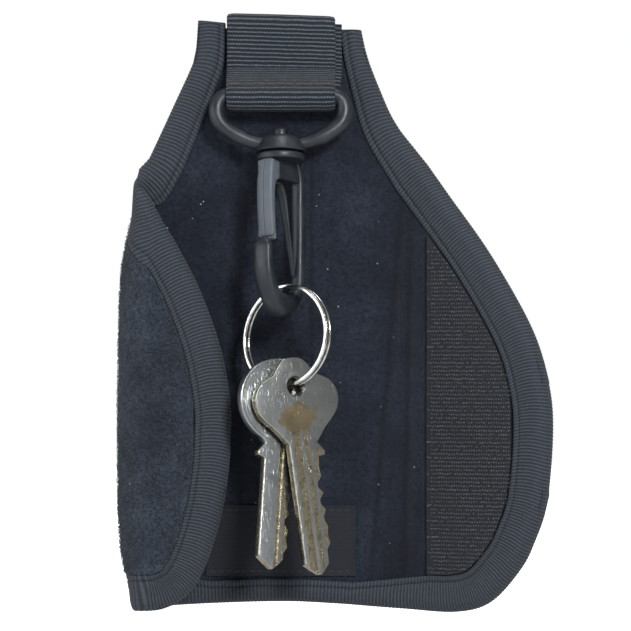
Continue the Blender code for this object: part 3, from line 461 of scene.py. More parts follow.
def paintSheenPatch(tree, color, sheenPatch):
    # a painted sheen on the webbing near one height, where it turns over the dee's bar, and only on
    # what stands out to the front
    point = splitPoint(tree, objectPoint(tree))
    distance = mathNode(tree, "ABSOLUTE", minus(tree, point[2], sheenPatch["height"]))
    near = minus(tree, 1.0, rampNode(tree, distance, sheenPatch["flat"], sheenPatch["reach"]))
    patchy = rampNode(tree, noiseNode(tree, objectPoint(tree), sheenPatchLook["scale"]),
                      *sheenPatchLook["contrast"])
    depth = rampNode(tree, point[1], *sheenPatch["front"])
    near = times(tree, times(tree, near, patchy), depth)
    return mixColors(tree, near, color, sheenPatch["color"])


def rubPatch(tree, color, patch):
    # the plating is rubbed through to brass in the middle of the bow
    near = tree.nodes.new("ShaderNodeMapping")
    size = [1.0 / half for half in patch["half"]]
    near.inputs["Scale"].default_value = size
    near.inputs["Location"].default_value = [-p * s for p, s in zip(patch["place"], size)]
    feed(tree, near.inputs["Vector"], objectPoint(tree))
    reach = tree.nodes.new("ShaderNodeVectorMath")
    reach.operation = "LENGTH"
    feed(tree, reach.inputs[0], near.outputs[0])
    ragged = times(tree, noiseNode(tree, objectPoint(tree), patchLook["scale"], 4.0),
                   patchLook["ragged"])
    amount = rampNode(tree, plus(tree, reach.outputs["Value"], ragged), *patchLook["rim"])
    return mixColors(tree, amount, color, patch["color"])


def napMaterial(name, base, light, lint, napScale, tuftScale, lintScale, bump, foldShades=()):
    material, tree, shader = blankMaterial(name, 0.95, sheen=0.1, specular=0.12)
    nap = placeEffect(tree, "nap", objectPoint(tree), Base=base, Light=light, Lint=lint,
                      Nap_Scale=napScale, Tuft_Scale=tuftScale, Lint_Scale=lintScale,
                      Lint_Size=napLook["lintSize"])
    feed(tree, shader.inputs["Base Color"], paintFoldShade(tree, nap["Color"], foldShades))
    addBump(tree, shader, nap["Height"], bump)
    return material


def yarnMaterial(name, base, light, ribs, yarn, dots, crest, bump, roughness=0.75, sheenPatch=None):
    material, tree, shader = blankMaterial(name, roughness, sheen=0.05, specular=0.25)
    woven = placeEffect(tree, "yarn", surfacePoint(tree), Base=base, Light=light,
                        Rib_Scale=math.tau / ribs, Yarn_Scale=math.tau / yarn, Dots=dots,
                        Crest=crest)
    color = paintSheenPatch(tree, woven["Color"], sheenPatch) if sheenPatch else woven["Color"]
    feed(tree, shader.inputs["Base Color"], color)
    addBump(tree, shader, woven["Height"], bump)
    return material


def wornMaterial(name, color, other, roughness, spots, metallic, patch=None):
    # plastic has a fine grain and metal has shallow dents, both under the same scratches
    material, tree, shader = blankMaterial(name, roughness[0], metallic=metallic)
    wear = placeEffect(tree, "wear", objectPoint(tree), Scale=spots, Low=roughness[0],
                       High=roughness[1])
    feed(tree, shader.inputs["Roughness"], wear["Roughness"])
    tone = mixColors(tree, wear["Mask"], color, other)
    if patch:
        tone = rubPatch(tree, tone, patch)
    feed(tree, shader.inputs["Base Color"], tone)
    relief = noiseNode(tree, objectPoint(tree), wearLook["dents" if metallic else "grain"], 2.0)
    addBump(tree, shader, plus(tree, relief, wear["Height"]), wearLook["bump"])
    return material


def plasticMaterial(name, color, pale, roughness, spots=260.0):
    return wornMaterial(name, color, pale, roughness, spots, 0.0)


def metalMaterial(name, color, dark, roughness, spots=700.0, patch=None):
    return wornMaterial(name, color, dark, roughness, spots, 1.0, patch)


looks = {
    # the lining's fold list paints shade into its colour in bands along the creases
    "lining": napMaterial("brushedLining", (0.004, 0.005, 0.0085), (0.030, 0.036, 0.055),
                          (0.30, 0.32, 0.35), 2600.0, 1100.0, 330.0, 0.00022, foldShades=[
                              (-11.0 * mm, 0.0, 3.0 * mm, 0.20), (-9.8 * mm, 0.0, 0.8 * mm, 0.4),
                              (7.4 * mm, 0.0, 0.9 * mm, 0.5), (28.7 * mm, 0.081, 1.1 * mm, 0.5),
                              (31.2 * mm, 0.02, 1.0 * mm, 0.45), (29.0 * mm, 0.0, 8.0 * mm, 0.3)]),
    "cover": napMaterial("coverCloth", (0.010, 0.012, 0.015), (0.035, 0.038, 0.045),
                         (0.12, 0.12, 0.13), 4200.0, 1500.0, 700.0, 0.00018),
    "foam": napMaterial("foamCore", (0.08, 0.08, 0.085), (0.13, 0.13, 0.14),
                        (0.2, 0.2, 0.2), 3000.0, 1800.0, 900.0, 0.0002),
    "pile": napMaterial("loopPile", (0.008, 0.010, 0.015), (0.058, 0.070, 0.094),
                        (0.30, 0.33, 0.36), 2600.0, 1300.0, 500.0, 0.0002),
    "binding": yarnMaterial("ribbedTape", (0.021, 0.025, 0.032), (0.072, 0.082, 0.100),
                            0.84 * mm, 0.42 * mm, 0.35, -0.8, 0.00005),
    # the webbing gets a painted sheen where it turns over the dee's bar
    "webbing": yarnMaterial("beltWebbing", (0.007, 0.009, 0.013), (0.145, 0.168, 0.20),
                            0.98 * mm, 0.65 * mm, 0.45, -0.05, 0.00012, sheenPatch={
                                "height": 32.2 * mm, "flat": 0.6 * mm, "reach": 3.0 * mm,
                                "front": (-10.0 * mm, -12.0 * mm),
                                "color": (0.036, 0.034, 0.033)}),
    "label": yarnMaterial("bareLabel", (0.009, 0.010, 0.014), (0.026, 0.030, 0.038),
                          0.5 * mm, 0.5 * mm, 0.5, -0.6, 0.00005),
    "thread": yarnMaterial("sewingThread", (0.030, 0.035, 0.042), (0.115, 0.130, 0.150),
                           0.7 * mm, 0.7 * mm, 0.4, -0.8, 0.00004, 0.6),
    "darkThread": yarnMaterial("seamThread", (0.008, 0.010, 0.014), (0.050, 0.057, 0.070),
                               0.7 * mm, 0.7 * mm, 0.4, -0.8, 0.00004, 0.7),
    "hookTape": plasticMaterial("nylonHookTape", (0.004, 0.005, 0.0075),
                                (0.010, 0.012, 0.017), (0.6, 0.8)),
    # the hooks get a paler plastic than their tape, a painted highlight for the shine on their tips
    "hookTipsPaintedHighlight": plasticMaterial("nylonHooksPaintedHighlight", (0.032, 0.036, 0.046), (0.20, 0.22, 0.25),
                                (0.30, 0.5), spots=1500.0),
    "plastic": plasticMaterial("satinPlastic", (0.013, 0.0155, 0.020), (0.026, 0.030, 0.036),
                               (0.33, 0.48)),
    "gate": plasticMaterial("gatePlastic", (0.085, 0.098, 0.116), (0.112, 0.120, 0.130),
                            (0.45, 0.62)),
    "ring": metalMaterial("nickelWire", (0.66, 0.65, 0.62), (0.36, 0.35, 0.33),
                          (0.10, 0.20)),
    "backKey": metalMaterial("tarnishedNickel", (0.40, 0.415, 0.42), (0.27, 0.28, 0.285),
                             (0.24, 0.38), spots=230.0),
    "frontKey": metalMaterial("wornNickel", (0.36, 0.37, 0.36), (0.26, 0.265, 0.26),
                              (0.26, 0.40), spots=230.0, patch={
                                  "place": (4.2 * mm, 0.0, -48.2 * mm),
                                  "half": (5.2 * mm, 1.0, 4.0 * mm),
                                  "color": (0.34, 0.275, 0.175)}),
    "brass": metalMaterial("rubbedBrass", (0.50, 0.45, 0.33), (0.20, 0.175, 0.12),
                           (0.20, 0.34)),
}
print("materials made")


# the cloth's fold

def turnAt(x, y, crease, turn):
    hinge = -folding["hingeDepth"]
    dx, dy = x - crease, y - hinge
    return (crease + dx * math.cos(turn) - dy * math.sin(turn),
            hinge + dx * math.sin(turn) + dy * math.cos(turn))


def bendPast(x, y, crease, way, bend, ease):
    # x, y: a point of the flat cloth seen from above, bent round one crease
    past = way * (x - crease)
    if past <= -ease:
        return x, y
    turn = -way * bend
    if past >= ease:
        return turnAt(x, y, crease, turn)
    hinge = -folding["hingeDepth"]
    radius = ease / math.tan(bend / 2)
    angle = turn * (past + ease) / (2 * ease)
    out = radius + y - hinge
    return (crease - way * ease - out * math.sin(angle), hinge - radius + out * math.cos(angle))


furrow = {"half": 0.9 * mm, "fade": 14 * mm, "deep": 0.55 * mm, "lip": 0.28 * mm, "lipAt": 2.2}
waves = {
    "across": 38, "along": 30, "high": 0.55 * mm, "stilled": 0.12, "webbing": 14 * mm,
    "ease": 12 * mm, "webbingEnd": -40 * mm, "easeBelow": 25 * mm, "below": 0.8,
}
rightFurrows = [
    [(29.0 * mm, 4 * mm), (27.7 * mm, -20 * mm), (26.7 * mm, -37 * mm), (23.6 * mm, -51 * mm),
     (22.8 * mm, -74 * mm)],
    [(31.4 * mm, -9 * mm), (30.7 * mm, -37 * mm), (30.6 * mm, -58 * mm), (30.0 * mm, -88 * mm)],
]


def creaseFurrow(u, v):
    # two furrows that the right flap's fold leaves in the lining
    depth = 0.0
    for line in rightFurrows:
        if not line[0][1] > v > line[-1][1]:
            continue
        for (ua, va), (ub, vb) in zip(line, line[1:]):
            if va >= v >= vb:
                middle = ua + (ub - ua) * (va - v) / (va - vb)
                off = (u - middle) / furrow["half"]
                fade = min(1.0, (line[0][1] - v) / furrow["fade"],
                           (v - line[-1][1]) / furrow["fade"])
                depth += fade * (furrow["deep"] * math.exp(-off * off) - furrow["lip"]
                                 * math.exp(-(abs(off) - furrow["lipAt"]) ** 2))
                break
    return depth


def drape(u, v):
    # slow waves that all the layers share, stilled where the webbing lies on them
    if v > waves["webbingEnd"]:
        calm = easeStep((abs(u) - waves["webbing"]) / waves["ease"])
    else:
        calm = easeStep((waves["webbingEnd"] - v) / waves["easeBelow"]) * waves["below"]
    wave = noise.noise(Vector((u * waves["across"], v * waves["along"], 3.1)))
    return wave * waves["high"] * max(waves["stilled"], calm)


def tableShare(rows, at):
    for (low, first), (high, second) in zip(rows, rows[1:]):
        if at < high:
            return first + (second - first) * max(0.0, (at - low) / (high - low))
    return rows[-1][1]


def onCloth(u, v, w):
    # a point of the pattern at a depth, where the folded cloth holds it at rest
    w = w + drape(u, v)
    x, y = u, -w
    leftAt, rightAt = -pattern["leftCrease"], pattern["rightCrease"]
    if u < 0:
        first, second = folding["leftBends"]
        x, y = bendPast(x, y, -leftEnd, -1, second, folding["leftEase"])
        if u < leftAt - folding["leftEase"]:
            x, y = turnAt(x, y, leftAt, first)
        else:
            x, y = bendPast(x, y, leftAt, -1, first, folding["leftEase"])
        if x < leftAt:
            x = leftAt + (x - leftAt) * tableShare(folding["squeeze"], v / mm)
    else:
        first, second = folding["rightBends"]
        x, y = bendPast(x, y, rightEnd, 1, second, folding["rightEase"])
        if u > rightAt + folding["rightEase"]:
            x, y = turnAt(x, y, rightAt, -first)
        else:
            x, y = bendPast(x, y, rightAt, 1, first, folding["rightEase"])
    return Vector((x, y, v))


def patternEdge(step):
    left = [(-leftReach * a, pattern["topAboveBelt"] - pattern["height"] * b)
            for a, b in pattern["leftEdge"]]
    right = [(rightReach * a, pattern["topAboveBelt"] - pattern["height"] * b)
             for a, b in pattern["rightEdge"]]
    return evenLine(smoothLine(left + right[-2::-1], 8), step)


ribPitch = 0.84 * mm
edge = patternEdge(ribPitch / 4)
# counts of stations of the edge, and the corner where the left flap's tape turns over
evening = {
    "reach": 16, "turnReach": 44, "window": 12, "levelled": 15,
    "turnFrom": -50 * mm, "turnTo": -31 * mm, "turnAbove": -20 * mm,
    "startWay": Vector((0.995, -0.1)), "endWay": Vector((-1.0, 0.0)),
}


def edgeNormals():
    # the way inward is evened out over a wider run where the left flap's tape turns over
    normals = []
    last = len(edge) - 1
    for i, point in enumerate(edge):
        atTurn = evening["turnFrom"] < point.x < evening["turnTo"] and point.y > evening["turnAbove"]
        reach = evening["turnReach"] if atTurn else evening["reach"]
        run = edge[min(i + reach, last)] - edge[max(i - reach, 0)]
        normals.append(Vector((-run.y, run.x)).normalized())
    evened = []
    for i in range(len(edge)):
        near = normals[max(i - evening["window"], 0):i + evening["window"] + 1]
        evened.append(sum(near, Vector((0.0, 0.0))).normalized())
    # the tape's two ends are cut level
    for i in range(evening["levelled"]):
        share = 1 - i / evening["levelled"]
        evened[i] = evened[i].lerp(evening["startWay"], share).normalized()
        evened[last - i] = evened[last - i].lerp(evening["endWay"], share).normalized()
    return evened


edgeInward = edgeNormals()


def edgeHeights(line, u):
    heights = []
    for a, b in zip(line, line[1:] + line[:1]):
        if (a.x - u) * (b.x - u) <= 0 and a.x != b.x:
            heights.append(a.lerp(b, (u - a.x) / (b.x - a.x)).y)
    return (min(heights), max(heights)) if heights else None


spanCell = 0.25 * mm
knownSpans = {}


def edgeSpan(u):
    # the pattern's lowest and highest points on an upright line
    cell = math.floor(u / spanCell)
    for k in (cell, cell + 1):
        if k not in knownSpans:
            knownSpans[k] = edgeHeights(edge, k * spanCell)
    a, b = knownSpans[cell], knownSpans[cell + 1]
    if not a or not b:
        return a or b
    t = u / spanCell - cell
    return a[0] + (b[0] - a[0]) * t, a[1] + (b[1] - a[1]) * t


def stretchCloth(name, low, high, layer, material, cell, margin=1.5 * mm, extra=None):
    # a sheet between two upright lines of the pattern, run under the binding at its rim
    back, front = layer
    low = max(low, min(p.x for p in edge) + margin)
    high = min(high, max(p.x for p in edge) - margin)
    cols = max(4, round((high - low) / cell))
    spans = []
    for j in range(cols + 1):
        bottom, top = edgeSpan(low + (high - low) * j / cols)
        spans.append((bottom + margin, top - margin))
    tall = max(top - bottom for bottom, top in spans)
    rows = round(tall / cell)

    def around(j, k):
        i, isFront = faceRow(k, rows)
        u = low + (high - low) * j / cols
        bottom, top = spans[j]
        v = bottom + (top - bottom) * i / rows
        w = front if isFront else back
        return onCloth(u, v, w + (extra(u, v) if extra else 0.0))

    piece = gridShape(name, cols, 2 * rows + 2, around, material, weld=True, caps=True)
    area = sum(b - a for a, b in spans) / len(spans) * (high - low)
    return piece, (high - low, tall), area


def lay(piece, slot, bodies, start=None, end=None, stands=()):
    # hides the imported nodes that the piece stands for, and hangs a piece of one body under that
    # body's empty; a piece of two bodies only has its place put into its mesh
    if stands:
        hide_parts(*stands)
    if len(bodies) == 2:
        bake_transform(piece)
        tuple(start)
        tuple(end)
    else:
        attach(piece, bodies[0])
    return piece


def foldLimits(side, step, w):
    # where a fold starts and ends, at one depth of the cloth
    if side == "left":
        ease = folding["leftEase"]
        crease = pattern["leftCrease"] if step == 1 else leftEnd
        pair = (-crease + ease, -crease - ease)
    else:
        ease = folding["rightEase"]
        crease = pattern["rightCrease"] if step == 1 else rightEnd
        pair = (crease - ease, crease + ease)
    return [onCloth(u, folding["limitHeight"], w) for u in pair]


# the bound edge and the cloth inside it

binding = {
    "leg": 8.8 * mm, "bottomLeg": 5.4 * mm, "bottomRun": 17.0 * mm,
    "leftTopLeg": 6.6 * mm, "rightTopLeg": 4.6 * mm, "topRun": 36.0 * mm,
    "face": 4.9 * mm, "back": -1.1 * mm, "tape": 0.75 * mm, "nose": 2.6 * mm,
    "ribHeight": 0.20 * mm, "arch": 0.75 * mm,
    "rib": (1.0, 0.62, 0.0, 0.62), "uvWidth": 26 * mm, "middle": 1.9 * mm,
    "turnSteps": 10, "turnRibs": 0.45, "rimOpen": 0.2 * mm, "insideNose": 1.6,
    "runPoints": (0.34, 0.67),
    "stitchDip": [(0.0, 0.30, 0.1), (0.45 * mm, 0.05, 0.7), (1.2 * mm, 0.06, 0.8),
                  (1.5 * mm, 0.46, 0.3), (1.85 * mm, 0.06, 0.9), (2.7 * mm, 0.0, 1.0)],
}


def legWidth(point):
    down = pattern["topAboveBelt"] - point.y
    if down < binding["topRun"]:
        narrow = binding["leftTopLeg"] if point.x < 0 else binding["rightTopLeg"]
        share = down / binding["topRun"]
    elif down < pattern["height"] - binding["leg"]:
        return binding["leg"]
    else:
        narrow = binding["bottomLeg"]
        run = pattern["leftCrease"] if point.x < 0 else pattern["rightFlap"]
        share = (abs(point.x) - binding["bottomRun"]) / (run - binding["bottomRun"])
    return narrow + (binding["leg"] - narrow) * min(1.0, max(0.0, share))


def tapeSection(leg):
    # the tape's section: inward way, depth, way out of its face and share of the ribs
    face, back, tape, nose = (binding[k] for k in ("face", "back", "tape", "nose"))
    middle, half = (face + back) / 2, (face - back) / 2
    # from the inner rim over the sunk seam: way outward, dip in mm and share of the ribs
    flat = list(binding["stitchDip"])
    seamEnd = flat[-1][0]
    run = leg - nose - seamEnd
    flat += [(seamEnd + run * t, 0.0, 1.0) for t in binding["runPoints"]]
    outer = [(leg - d, face - dip * mm, 0.0, 1.0, share) for d, dip, share in flat]
    for k in range(binding["turnSteps"] + 1):
        angle = math.pi / 2 - math.pi * k / binding["turnSteps"]
        c, s = math.cos(angle), math.sin(angle)
        outer.append((nose - nose * c, middle + half * s, -c, s, 1.0 - binding["turnRibs"] * c))
    outer += [(leg - d, back + dip * mm, 0.0, -1.0, share) for d, dip, share in flat[::-1]]
    rim, deep = tape + binding["rimOpen"], tape * binding["insideNose"]
    inner = [(leg, back + rim), (nose, back + tape), (deep, middle - half / 2),
             (deep, middle + half / 2), (nose, face - tape), (leg, face - rim)]
    return outer + [(d, w, 0.0, 0.0, 0.0) for d, w in inner]


def edgePlace(station):
    # a point of the edge and its way inward, between two stations
    station = min(max(station, 0.0), len(edge) - 1.001)
    i = int(station)
    t = station - i
    return edge[i].lerp(edge[i + 1], t), edgeInward[i].lerp(edgeInward[i + 1], t)


def makeBinding(name, first, last, bodies, limits, stands):
    columns = last - first
    legs = [legWidth(point) for point in edge[first:last + 1]]
    sections = [tapeSection(leg) for leg in legs]
    count = len(sections[0])

    def place(i, k):
        # the ribs arch a little towards the top of the holder
        d, w, outD, outW, share = sections[i][k % count]
        rise = binding["ribHeight"] * binding["rib"][(first + i) % 4] * share
        at, way = edgePlace(first + i)
        across = 2 * d / legs[i] - 1
        lift = binding["arch"] * way.x * (1 - across * across) / (ribPitch / 4)
        at, way = edgePlace(first + i - lift)
        at = at + way * (d + outD * rise)
        return onCloth(at.x, at.y, w + outW * rise)

    size = (columns * ribPitch / 4, binding["uvWidth"])
    piece = gridShape(name, columns, count, place, looks["binding"], size, weld=True, caps=True,
                      angle=60.0, uvStart=first * ribPitch / 4)
    return lay(piece, "ribbed_tape", bodies, *limits, stands=stands)


def crossing(u, fromTop):
    # the station of the edge where it crosses an upright line, on the upper or lower side
    hits = [i for i in range(len(edge) - 1) if (edge[i].x - u) * (edge[i + 1].x - u) <= 0]
    return max(hits, key=lambda i: edge[i].y) if fromTop else min(hits, key=lambda i: edge[i].y)


def makeBindings():
    cuts = [0, crossing(-leftMid, True), crossing(-leftMid, False), crossing(0.0, False),
            crossing(rightMid, False), crossing(rightMid, True), len(edge) - 1]
    tapes = [
        ("leftShoulderTape", "left", 1, ["top_left_binding", "left_gusset_top_binding"]),
        ("leftFlapTape", "left", 2, ["left_flap_binding"]),
        ("bottomLeftTape", "left", 1, ["bottom_binding", "left_gusset_bottom_binding"]),
        ("bottomRightTape", "right", 1, ["right_gusset_bottom_binding"]),
        ("rightFlapTape", "right", 2, ["right_flap_binding"]),
        ("rightShoulderTape", "right", 1, ["top_right_binding", "right_gusset_top_binding"]),
    ]
    for first, last, (name, side, step, stands) in zip(cuts, cuts[1:], tapes):
        bodies = ("panel", side + "_gusset") if step == 1 else (side + "_gusset", side + "_flap")
        makeBinding(name, first, last, bodies, foldLimits(side, step, binding["middle"]), stands)
    print("bound edge made")


cloth = {
    "swell": 0.35 * mm, "swellFrom": 8 * mm, "swellRun": 9 * mm,
    "liningBumps": [((150, 120, 7.7), 0.14 * mm), ((420, 380, 2.2), 0.05 * mm)],
    "coverBump": ((90, 80, 1.7), 0.12 * mm),
    "furrows": [(-10.8 * mm, 1.5 * mm, 0.8 * mm), (7.8 * mm, 1.3 * mm, 0.55 * mm),
                (-13.6 * mm, 0.9 * mm, -0.3 * mm), (10.2 * mm, 0.9 * mm, -0.2 * mm)],
    "furrowTop": (24 * mm, 12 * mm), "furrowBottom": (35 * mm, 10 * mm),
    "furrowSway": 0.8 * mm, "furrowTurns": 90,
    "sewnAt": 35.2 * mm, "sewnHalf": 1.1 * mm, "sewnDeep": 0.35 * mm,
    "sewnReach": 14.5 * mm, "sewnEase": 2 * mm,
    "liningCell": 0.8 * mm, "coverCell": 1.2 * mm, "foamCell": 2.5 * mm,
    "foamMargin": 3.0 * mm, "foamGap": 4 * mm,
}


def smallBump(u, v, scales, high):
    across, along, other = scales
    return noise.noise(Vector((u * across, v * along, other))) * high


def liningSwell(u, v):
    # the padding lifts the lining between the bindings and lets it fall at the furrows
    span = edgeSpan(u)
    if not span:
        return 0.0
    inset = min(v - span[0], span[1] - v, leftReach + u, rightReach - u)
    swell = cloth["swell"] * easeStep((inset - cloth["swellFrom"]) / cloth["swellRun"])
    fine = sum(smallBump(u, v, *bump) for bump in cloth["liningBumps"])
    return swell + fine - creaseFurrow(u, v) - backFurrow(u, v)


def backFurrow(u, v):
    # two upright folds that show behind the hook, and the sewn line below them
    (top, topRun), (bottom, bottomRun) = cloth["furrowTop"], cloth["furrowBottom"]
    along = easeStep((top - v) / topRun) * easeStep((v + bottom) / bottomRun)
    sway = cloth["furrowSway"] * math.sin(v * cloth["furrowTurns"])
    depth = 0.0
    for middle, wide, deep in cloth["furrows"]:
        off = (u - middle - sway) / wide
        depth += along * deep * math.exp(-off * off)
    sewn = (v + cloth["sewnAt"]) / cloth["sewnHalf"]
    across = easeStep((cloth["sewnReach"] - abs(u)) / cloth["sewnEase"])
    return depth + cloth["sewnDeep"] * across * math.exp(-sewn * sewn)


def coverSwell(u, v):
    return smallBump(u, v, *cloth["coverBump"])


def makeCloth():
    left = pattern["leftCrease"]
    pieces = [
        ("frontLiningLeft", -leftMid, 0.0, "lining", ("panel", "left_gusset"), ("left", 1),
         ["lining", "left_inner_fold"]),
        ("frontLiningRight", 0.0, rightMid, "lining", ("panel", "right_gusset"), ("right", 1),
         ["right_inner_fold"]),
        ("leftFlapLining", -leftReach, -leftMid, "lining", ("left_gusset", "left_flap"),
         ("left", 2), ["left_flap_lining", "left_outer_fold"]),
        ("rightFlapLining", rightMid, rightReach, "lining", ("right_gusset", "right_flap"),
         ("right", 2), ["right_flap_lining", "right_outer_fold"]),
        ("backCoverLeft", -leftMid, 0.0, "cover", ("panel", "left_gusset"), ("left", 1),
         ["back_cover", "left_gusset"]),
        ("backCoverRight", 0.0, rightMid, "cover", ("panel", "right_gusset"), ("right", 1),
         ["right_gusset"]),
        ("leftFlapCover", -leftReach, -leftMid, "cover", ("left_gusset", "left_flap"),
         ("left", 2), ["left_flap_cover"]),
        ("rightFlapCover", rightMid, rightReach, "cover", ("right_gusset", "right_flap"),
         ("right", 2), ["right_flap_cover"]),
    ]
    slots = {"lining": "brushed_lining", "cover": "cover_cloth"}
    for name, low, high, kind, bodies, fold, stands in pieces:
        cell = cloth[kind + "Cell"]
        extra = liningSwell if kind == "lining" else coverSwell
        piece, flat, area = stretchCloth(name, low, high, layers[kind], looks[kind], cell,
                                         extra=extra)
        min(area, flat[0] * flat[1])
        limits = foldLimits(*fold, sum(layers[kind]) / 2)
        lay(piece, slots[kind], bodies, *limits, stands=stands)
    ease = cloth["foamGap"]
    for name, low, high, body, node in (
            ("panelFoam", -left + ease, pattern["rightCrease"] - ease, "panel", "foam_core"),
            ("leftFlapFoam", -leftReach, -leftEnd - ease, "left_flap", "left_flap_foam"),
            ("rightFlapFoam", rightEnd + ease, rightReach, "right_flap", "right_flap_foam")):
        piece, flat, area = stretchCloth(name, low, high, layers["foam"], looks["foam"],
                                         cloth["foamCell"], margin=cloth["foamMargin"])
        lay(piece, "foam", (body,), stands=[node])
    print("cover, padding and lining made")


makeBindings()
makeCloth()


# the belt webbing

webbing = {
    "width": 25.4 * mm, "thickness": 1.5 * mm, "skew": 1.6 * mm, "tailBelow": -1.3 * mm,
    "tilt": 0.03,
    "bartackAbove": 6.5 * mm, "tunnelHeight": 69.2 * mm, "tunnelDepth": 5.2 * mm,
    "tunnelSlope": 9.0 * mm, "seam": 4.0 * mm, "topRise": 2.6 * mm, "topPower": 0.6,
    "gap": 0.3 * mm, "rib": 0.98 * mm, "ribHeight": 0.17 * mm, "across": 26,
    "selvedge": 0.35 * mm, "rimRun": 1.2 * mm, "rimThin": 0.35, "ribs": (1.0, 0.55, 0.0, 0.55),
    "yarn": 1.02 * mm, "core": 0.86, "wobble": 0.12 * mm, "skewRun": 0.45,
    "leanFrom": 33 * mm, "leanRun": 6 * mm, "keeperFrom": 25.0, "keeperTurn": 235.0,
    "turnSteps": 24, "skewEnd": 22, "yarnShare": 0.15,
}
bar = {"height": 29.0 * mm, "depth": 9.8 * mm, "rod": 1.95 * mm, "clearance": 0.45 * mm}


def rampLine(start, end, steps=10):
    return [(start[0] + (end[0] - start[0]) * easeStep(i / steps),
             start[1] + (end[1] - start[1]) * i / steps) for i in range(1, steps + 1)]


def webbingLine():
    # its middle line as (depth, height), from the keeper's tail to the tunnel's
    half = webbing["thickness"] / 2
    tail = layers["lining"][1] + webbing["gap"] + half
    front = tail + webbing["thickness"] + webbing["gap"]
    rear = -webbing["gap"] - half
    bartack = bar["height"] + webbing["bartackAbove"]
    keeper = bar["rod"] + bar["clearance"] + half
    a, b = edge[0], edge[-1]
    rim = a.lerp(b, (-webbing["width"] / 2 - a.x) / (b.x - a.x)).y + webbing["gap"] + half
    bendStart = rim - webbing["topRise"]
    line = [(tail, bendStart - webbing["tailBelow"]), (tail, bartack)]

    def onKeeper(degrees):
        angle = math.radians(degrees)
        return bar["depth"] - keeper * math.cos(angle), bar["height"] + keeper * math.sin(angle)

    line += rampLine(line[-1], onKeeper(webbing["keeperFrom"]))
    steps = webbing["turnSteps"]
    line += [onKeeper(webbing["keeperFrom"] - webbing["keeperTurn"] * i / steps)
             for i in range(1, steps + 1)]
    line += rampLine(line[-1], (front, bartack))
    turnStart = len(line)
    middle, reach = (front + rear) / 2, (front - rear) / 2
    for i in range(steps + 1):
        angle = math.pi * i / steps
        across = math.copysign(abs(math.cos(angle)) ** webbing["topPower"], math.cos(angle))
        rise = max(0.0, math.sin(angle)) ** webbing["topPower"]
        line.append((middle + reach * across, bendStart + webbing["topRise"] * rise))
    seam = webbing["tunnelHeight"] / 2
    out = -(webbing["gap"] + webbing["tunnelDepth"] + half)
    line.append((rear, seam))
    line += rampLine((rear, seam), (out, seam - webbing["tunnelSlope"]))
    line.append((out, webbing["tunnelSlope"] - seam))
    line += rampLine((out, webbing["tunnelSlope"] - seam), (rear, -seam))
    line.append((rear, -seam - webbing["seam"]))
    skewEnd = line[turnStart - webbing["skewEnd"]]
    points = [Vector(p) for p in line]
    return evenLine(points, webbing["rib"] / 4), Vector(skewEnd)


def makeWebbing():
    line, skewEnd = webbingLine()
    last = len(line) - 1
    turn = min(range(len(line) // 2), key=lambda i: (line[i] - skewEnd).length)
    half, width = webbing["thickness"] / 2, webbing["width"]
    across, rimRun = webbing["across"], webbing["rimRun"]
    # the section as (x, side): front face, selvedge, back face and the other selvedge
    section = []
    for side in (1.0, -1.0):
        section += [(side * (-width / 2 + width * k / across), side) for k in range(across + 1)]
        section.append((side * (width / 2 + webbing["selvedge"]), 0.0))
    count = len(section)

    def place(i, k):
        run = line[min(i + 2, last)] - line[max(i - 2, 0)]
        out = Vector((run.y, -run.x)).normalized()
        x, side = section[k % count]
        rim = 1.0 - max(0.0, (abs(x) - width / 2 + rimRun) / rimRun) * webbing["rimThin"]
        rib = webbing["ribs"][i % 4]
        yarn = webbing["yarnShare"]
        rib *= 1.0 - yarn + yarn * math.cos(math.tau * x / webbing["yarn"])
        depth = half * webbing["core"] * rim + webbing["ribHeight"] * rib
        at = line[i] + out * depth * side
        skew = webbing["skew"] * min(1.0, max(0.0, (turn - i) / (turn * webbing["skewRun"])))
        wobble = webbing["wobble"] * noise.noise(Vector((i * 0.02, side, 2.0)))
        lean = webbing["tilt"] * easeStep((at.y - webbing["leanFrom"]) / webbing["leanRun"])
        return Vector((x + skew + wobble, -at.x, at.y - x * lean))

    size = (last * webbing["rib"] / 4, 2 * width)
    piece = gridShape("beltWebbing", last, count, place, looks["webbing"], size, weld=True,
                      caps=True, angle=70.0)
    lay(piece, "webbing", ("panel",), stands=["belt_webbing"])
    print("belt webbing made")


makeWebbing()


stitching = {
    "bartackTop": 36.6 * mm, "bartackStep": 0.62 * mm, "bartackHalf": 9.6 * mm,
    "bartackPasses": 3, "bartackDrop": 0.4 * mm, "bartackYarn": 0.13 * mm,
    "loopSeams": (-34.3 * mm, -36.1 * mm), "loopSeamRun": (-13.2 * mm, 12.4 * mm),
    "loopSeamSunk": 0.02 * mm, "loopSeamYarn": 0.11 * mm,
    "tunnelSeams": (-36.2 * mm, -37.8 * mm, 36.0 * mm, 37.6 * mm),
    "tunnelRun": (-11.8 * mm, 11.0 * mm), "tunnelStitch": 1.7 * mm, "tunnelStep": 2.4 * mm,
    "tunnelLift": 0.2 * mm, "tunnelYarn": 0.24 * mm, "overlap": 1.05, "low": 0.8,
}


def threadStitches(name, rows, radius, material, body, slot):
    # each row: (start, end, outward way) with one low stitch each
    work = bmesh.new()
    for start, end, out in rows:
        ball = bmesh.ops.create_icosphere(work, subdivisions=2, radius=1.0)["verts"]
        run = end - start
        along = run.normalized()
        side = out.cross(along).normalized()
        turn = Matrix((along, side, out)).transposed().to_4x4()
        size = Matrix.Diagonal((run.length / 2 * stitching["overlap"], radius,
                                radius * stitching["low"], 1.0))
        bmesh.ops.transform(work, matrix=Matrix.Translation((start + end) / 2) @ turn @ size,
                            verts=ball)
    piece = finishMesh(work, name, material, 80.0)
    return lay(piece, slot, (body,))


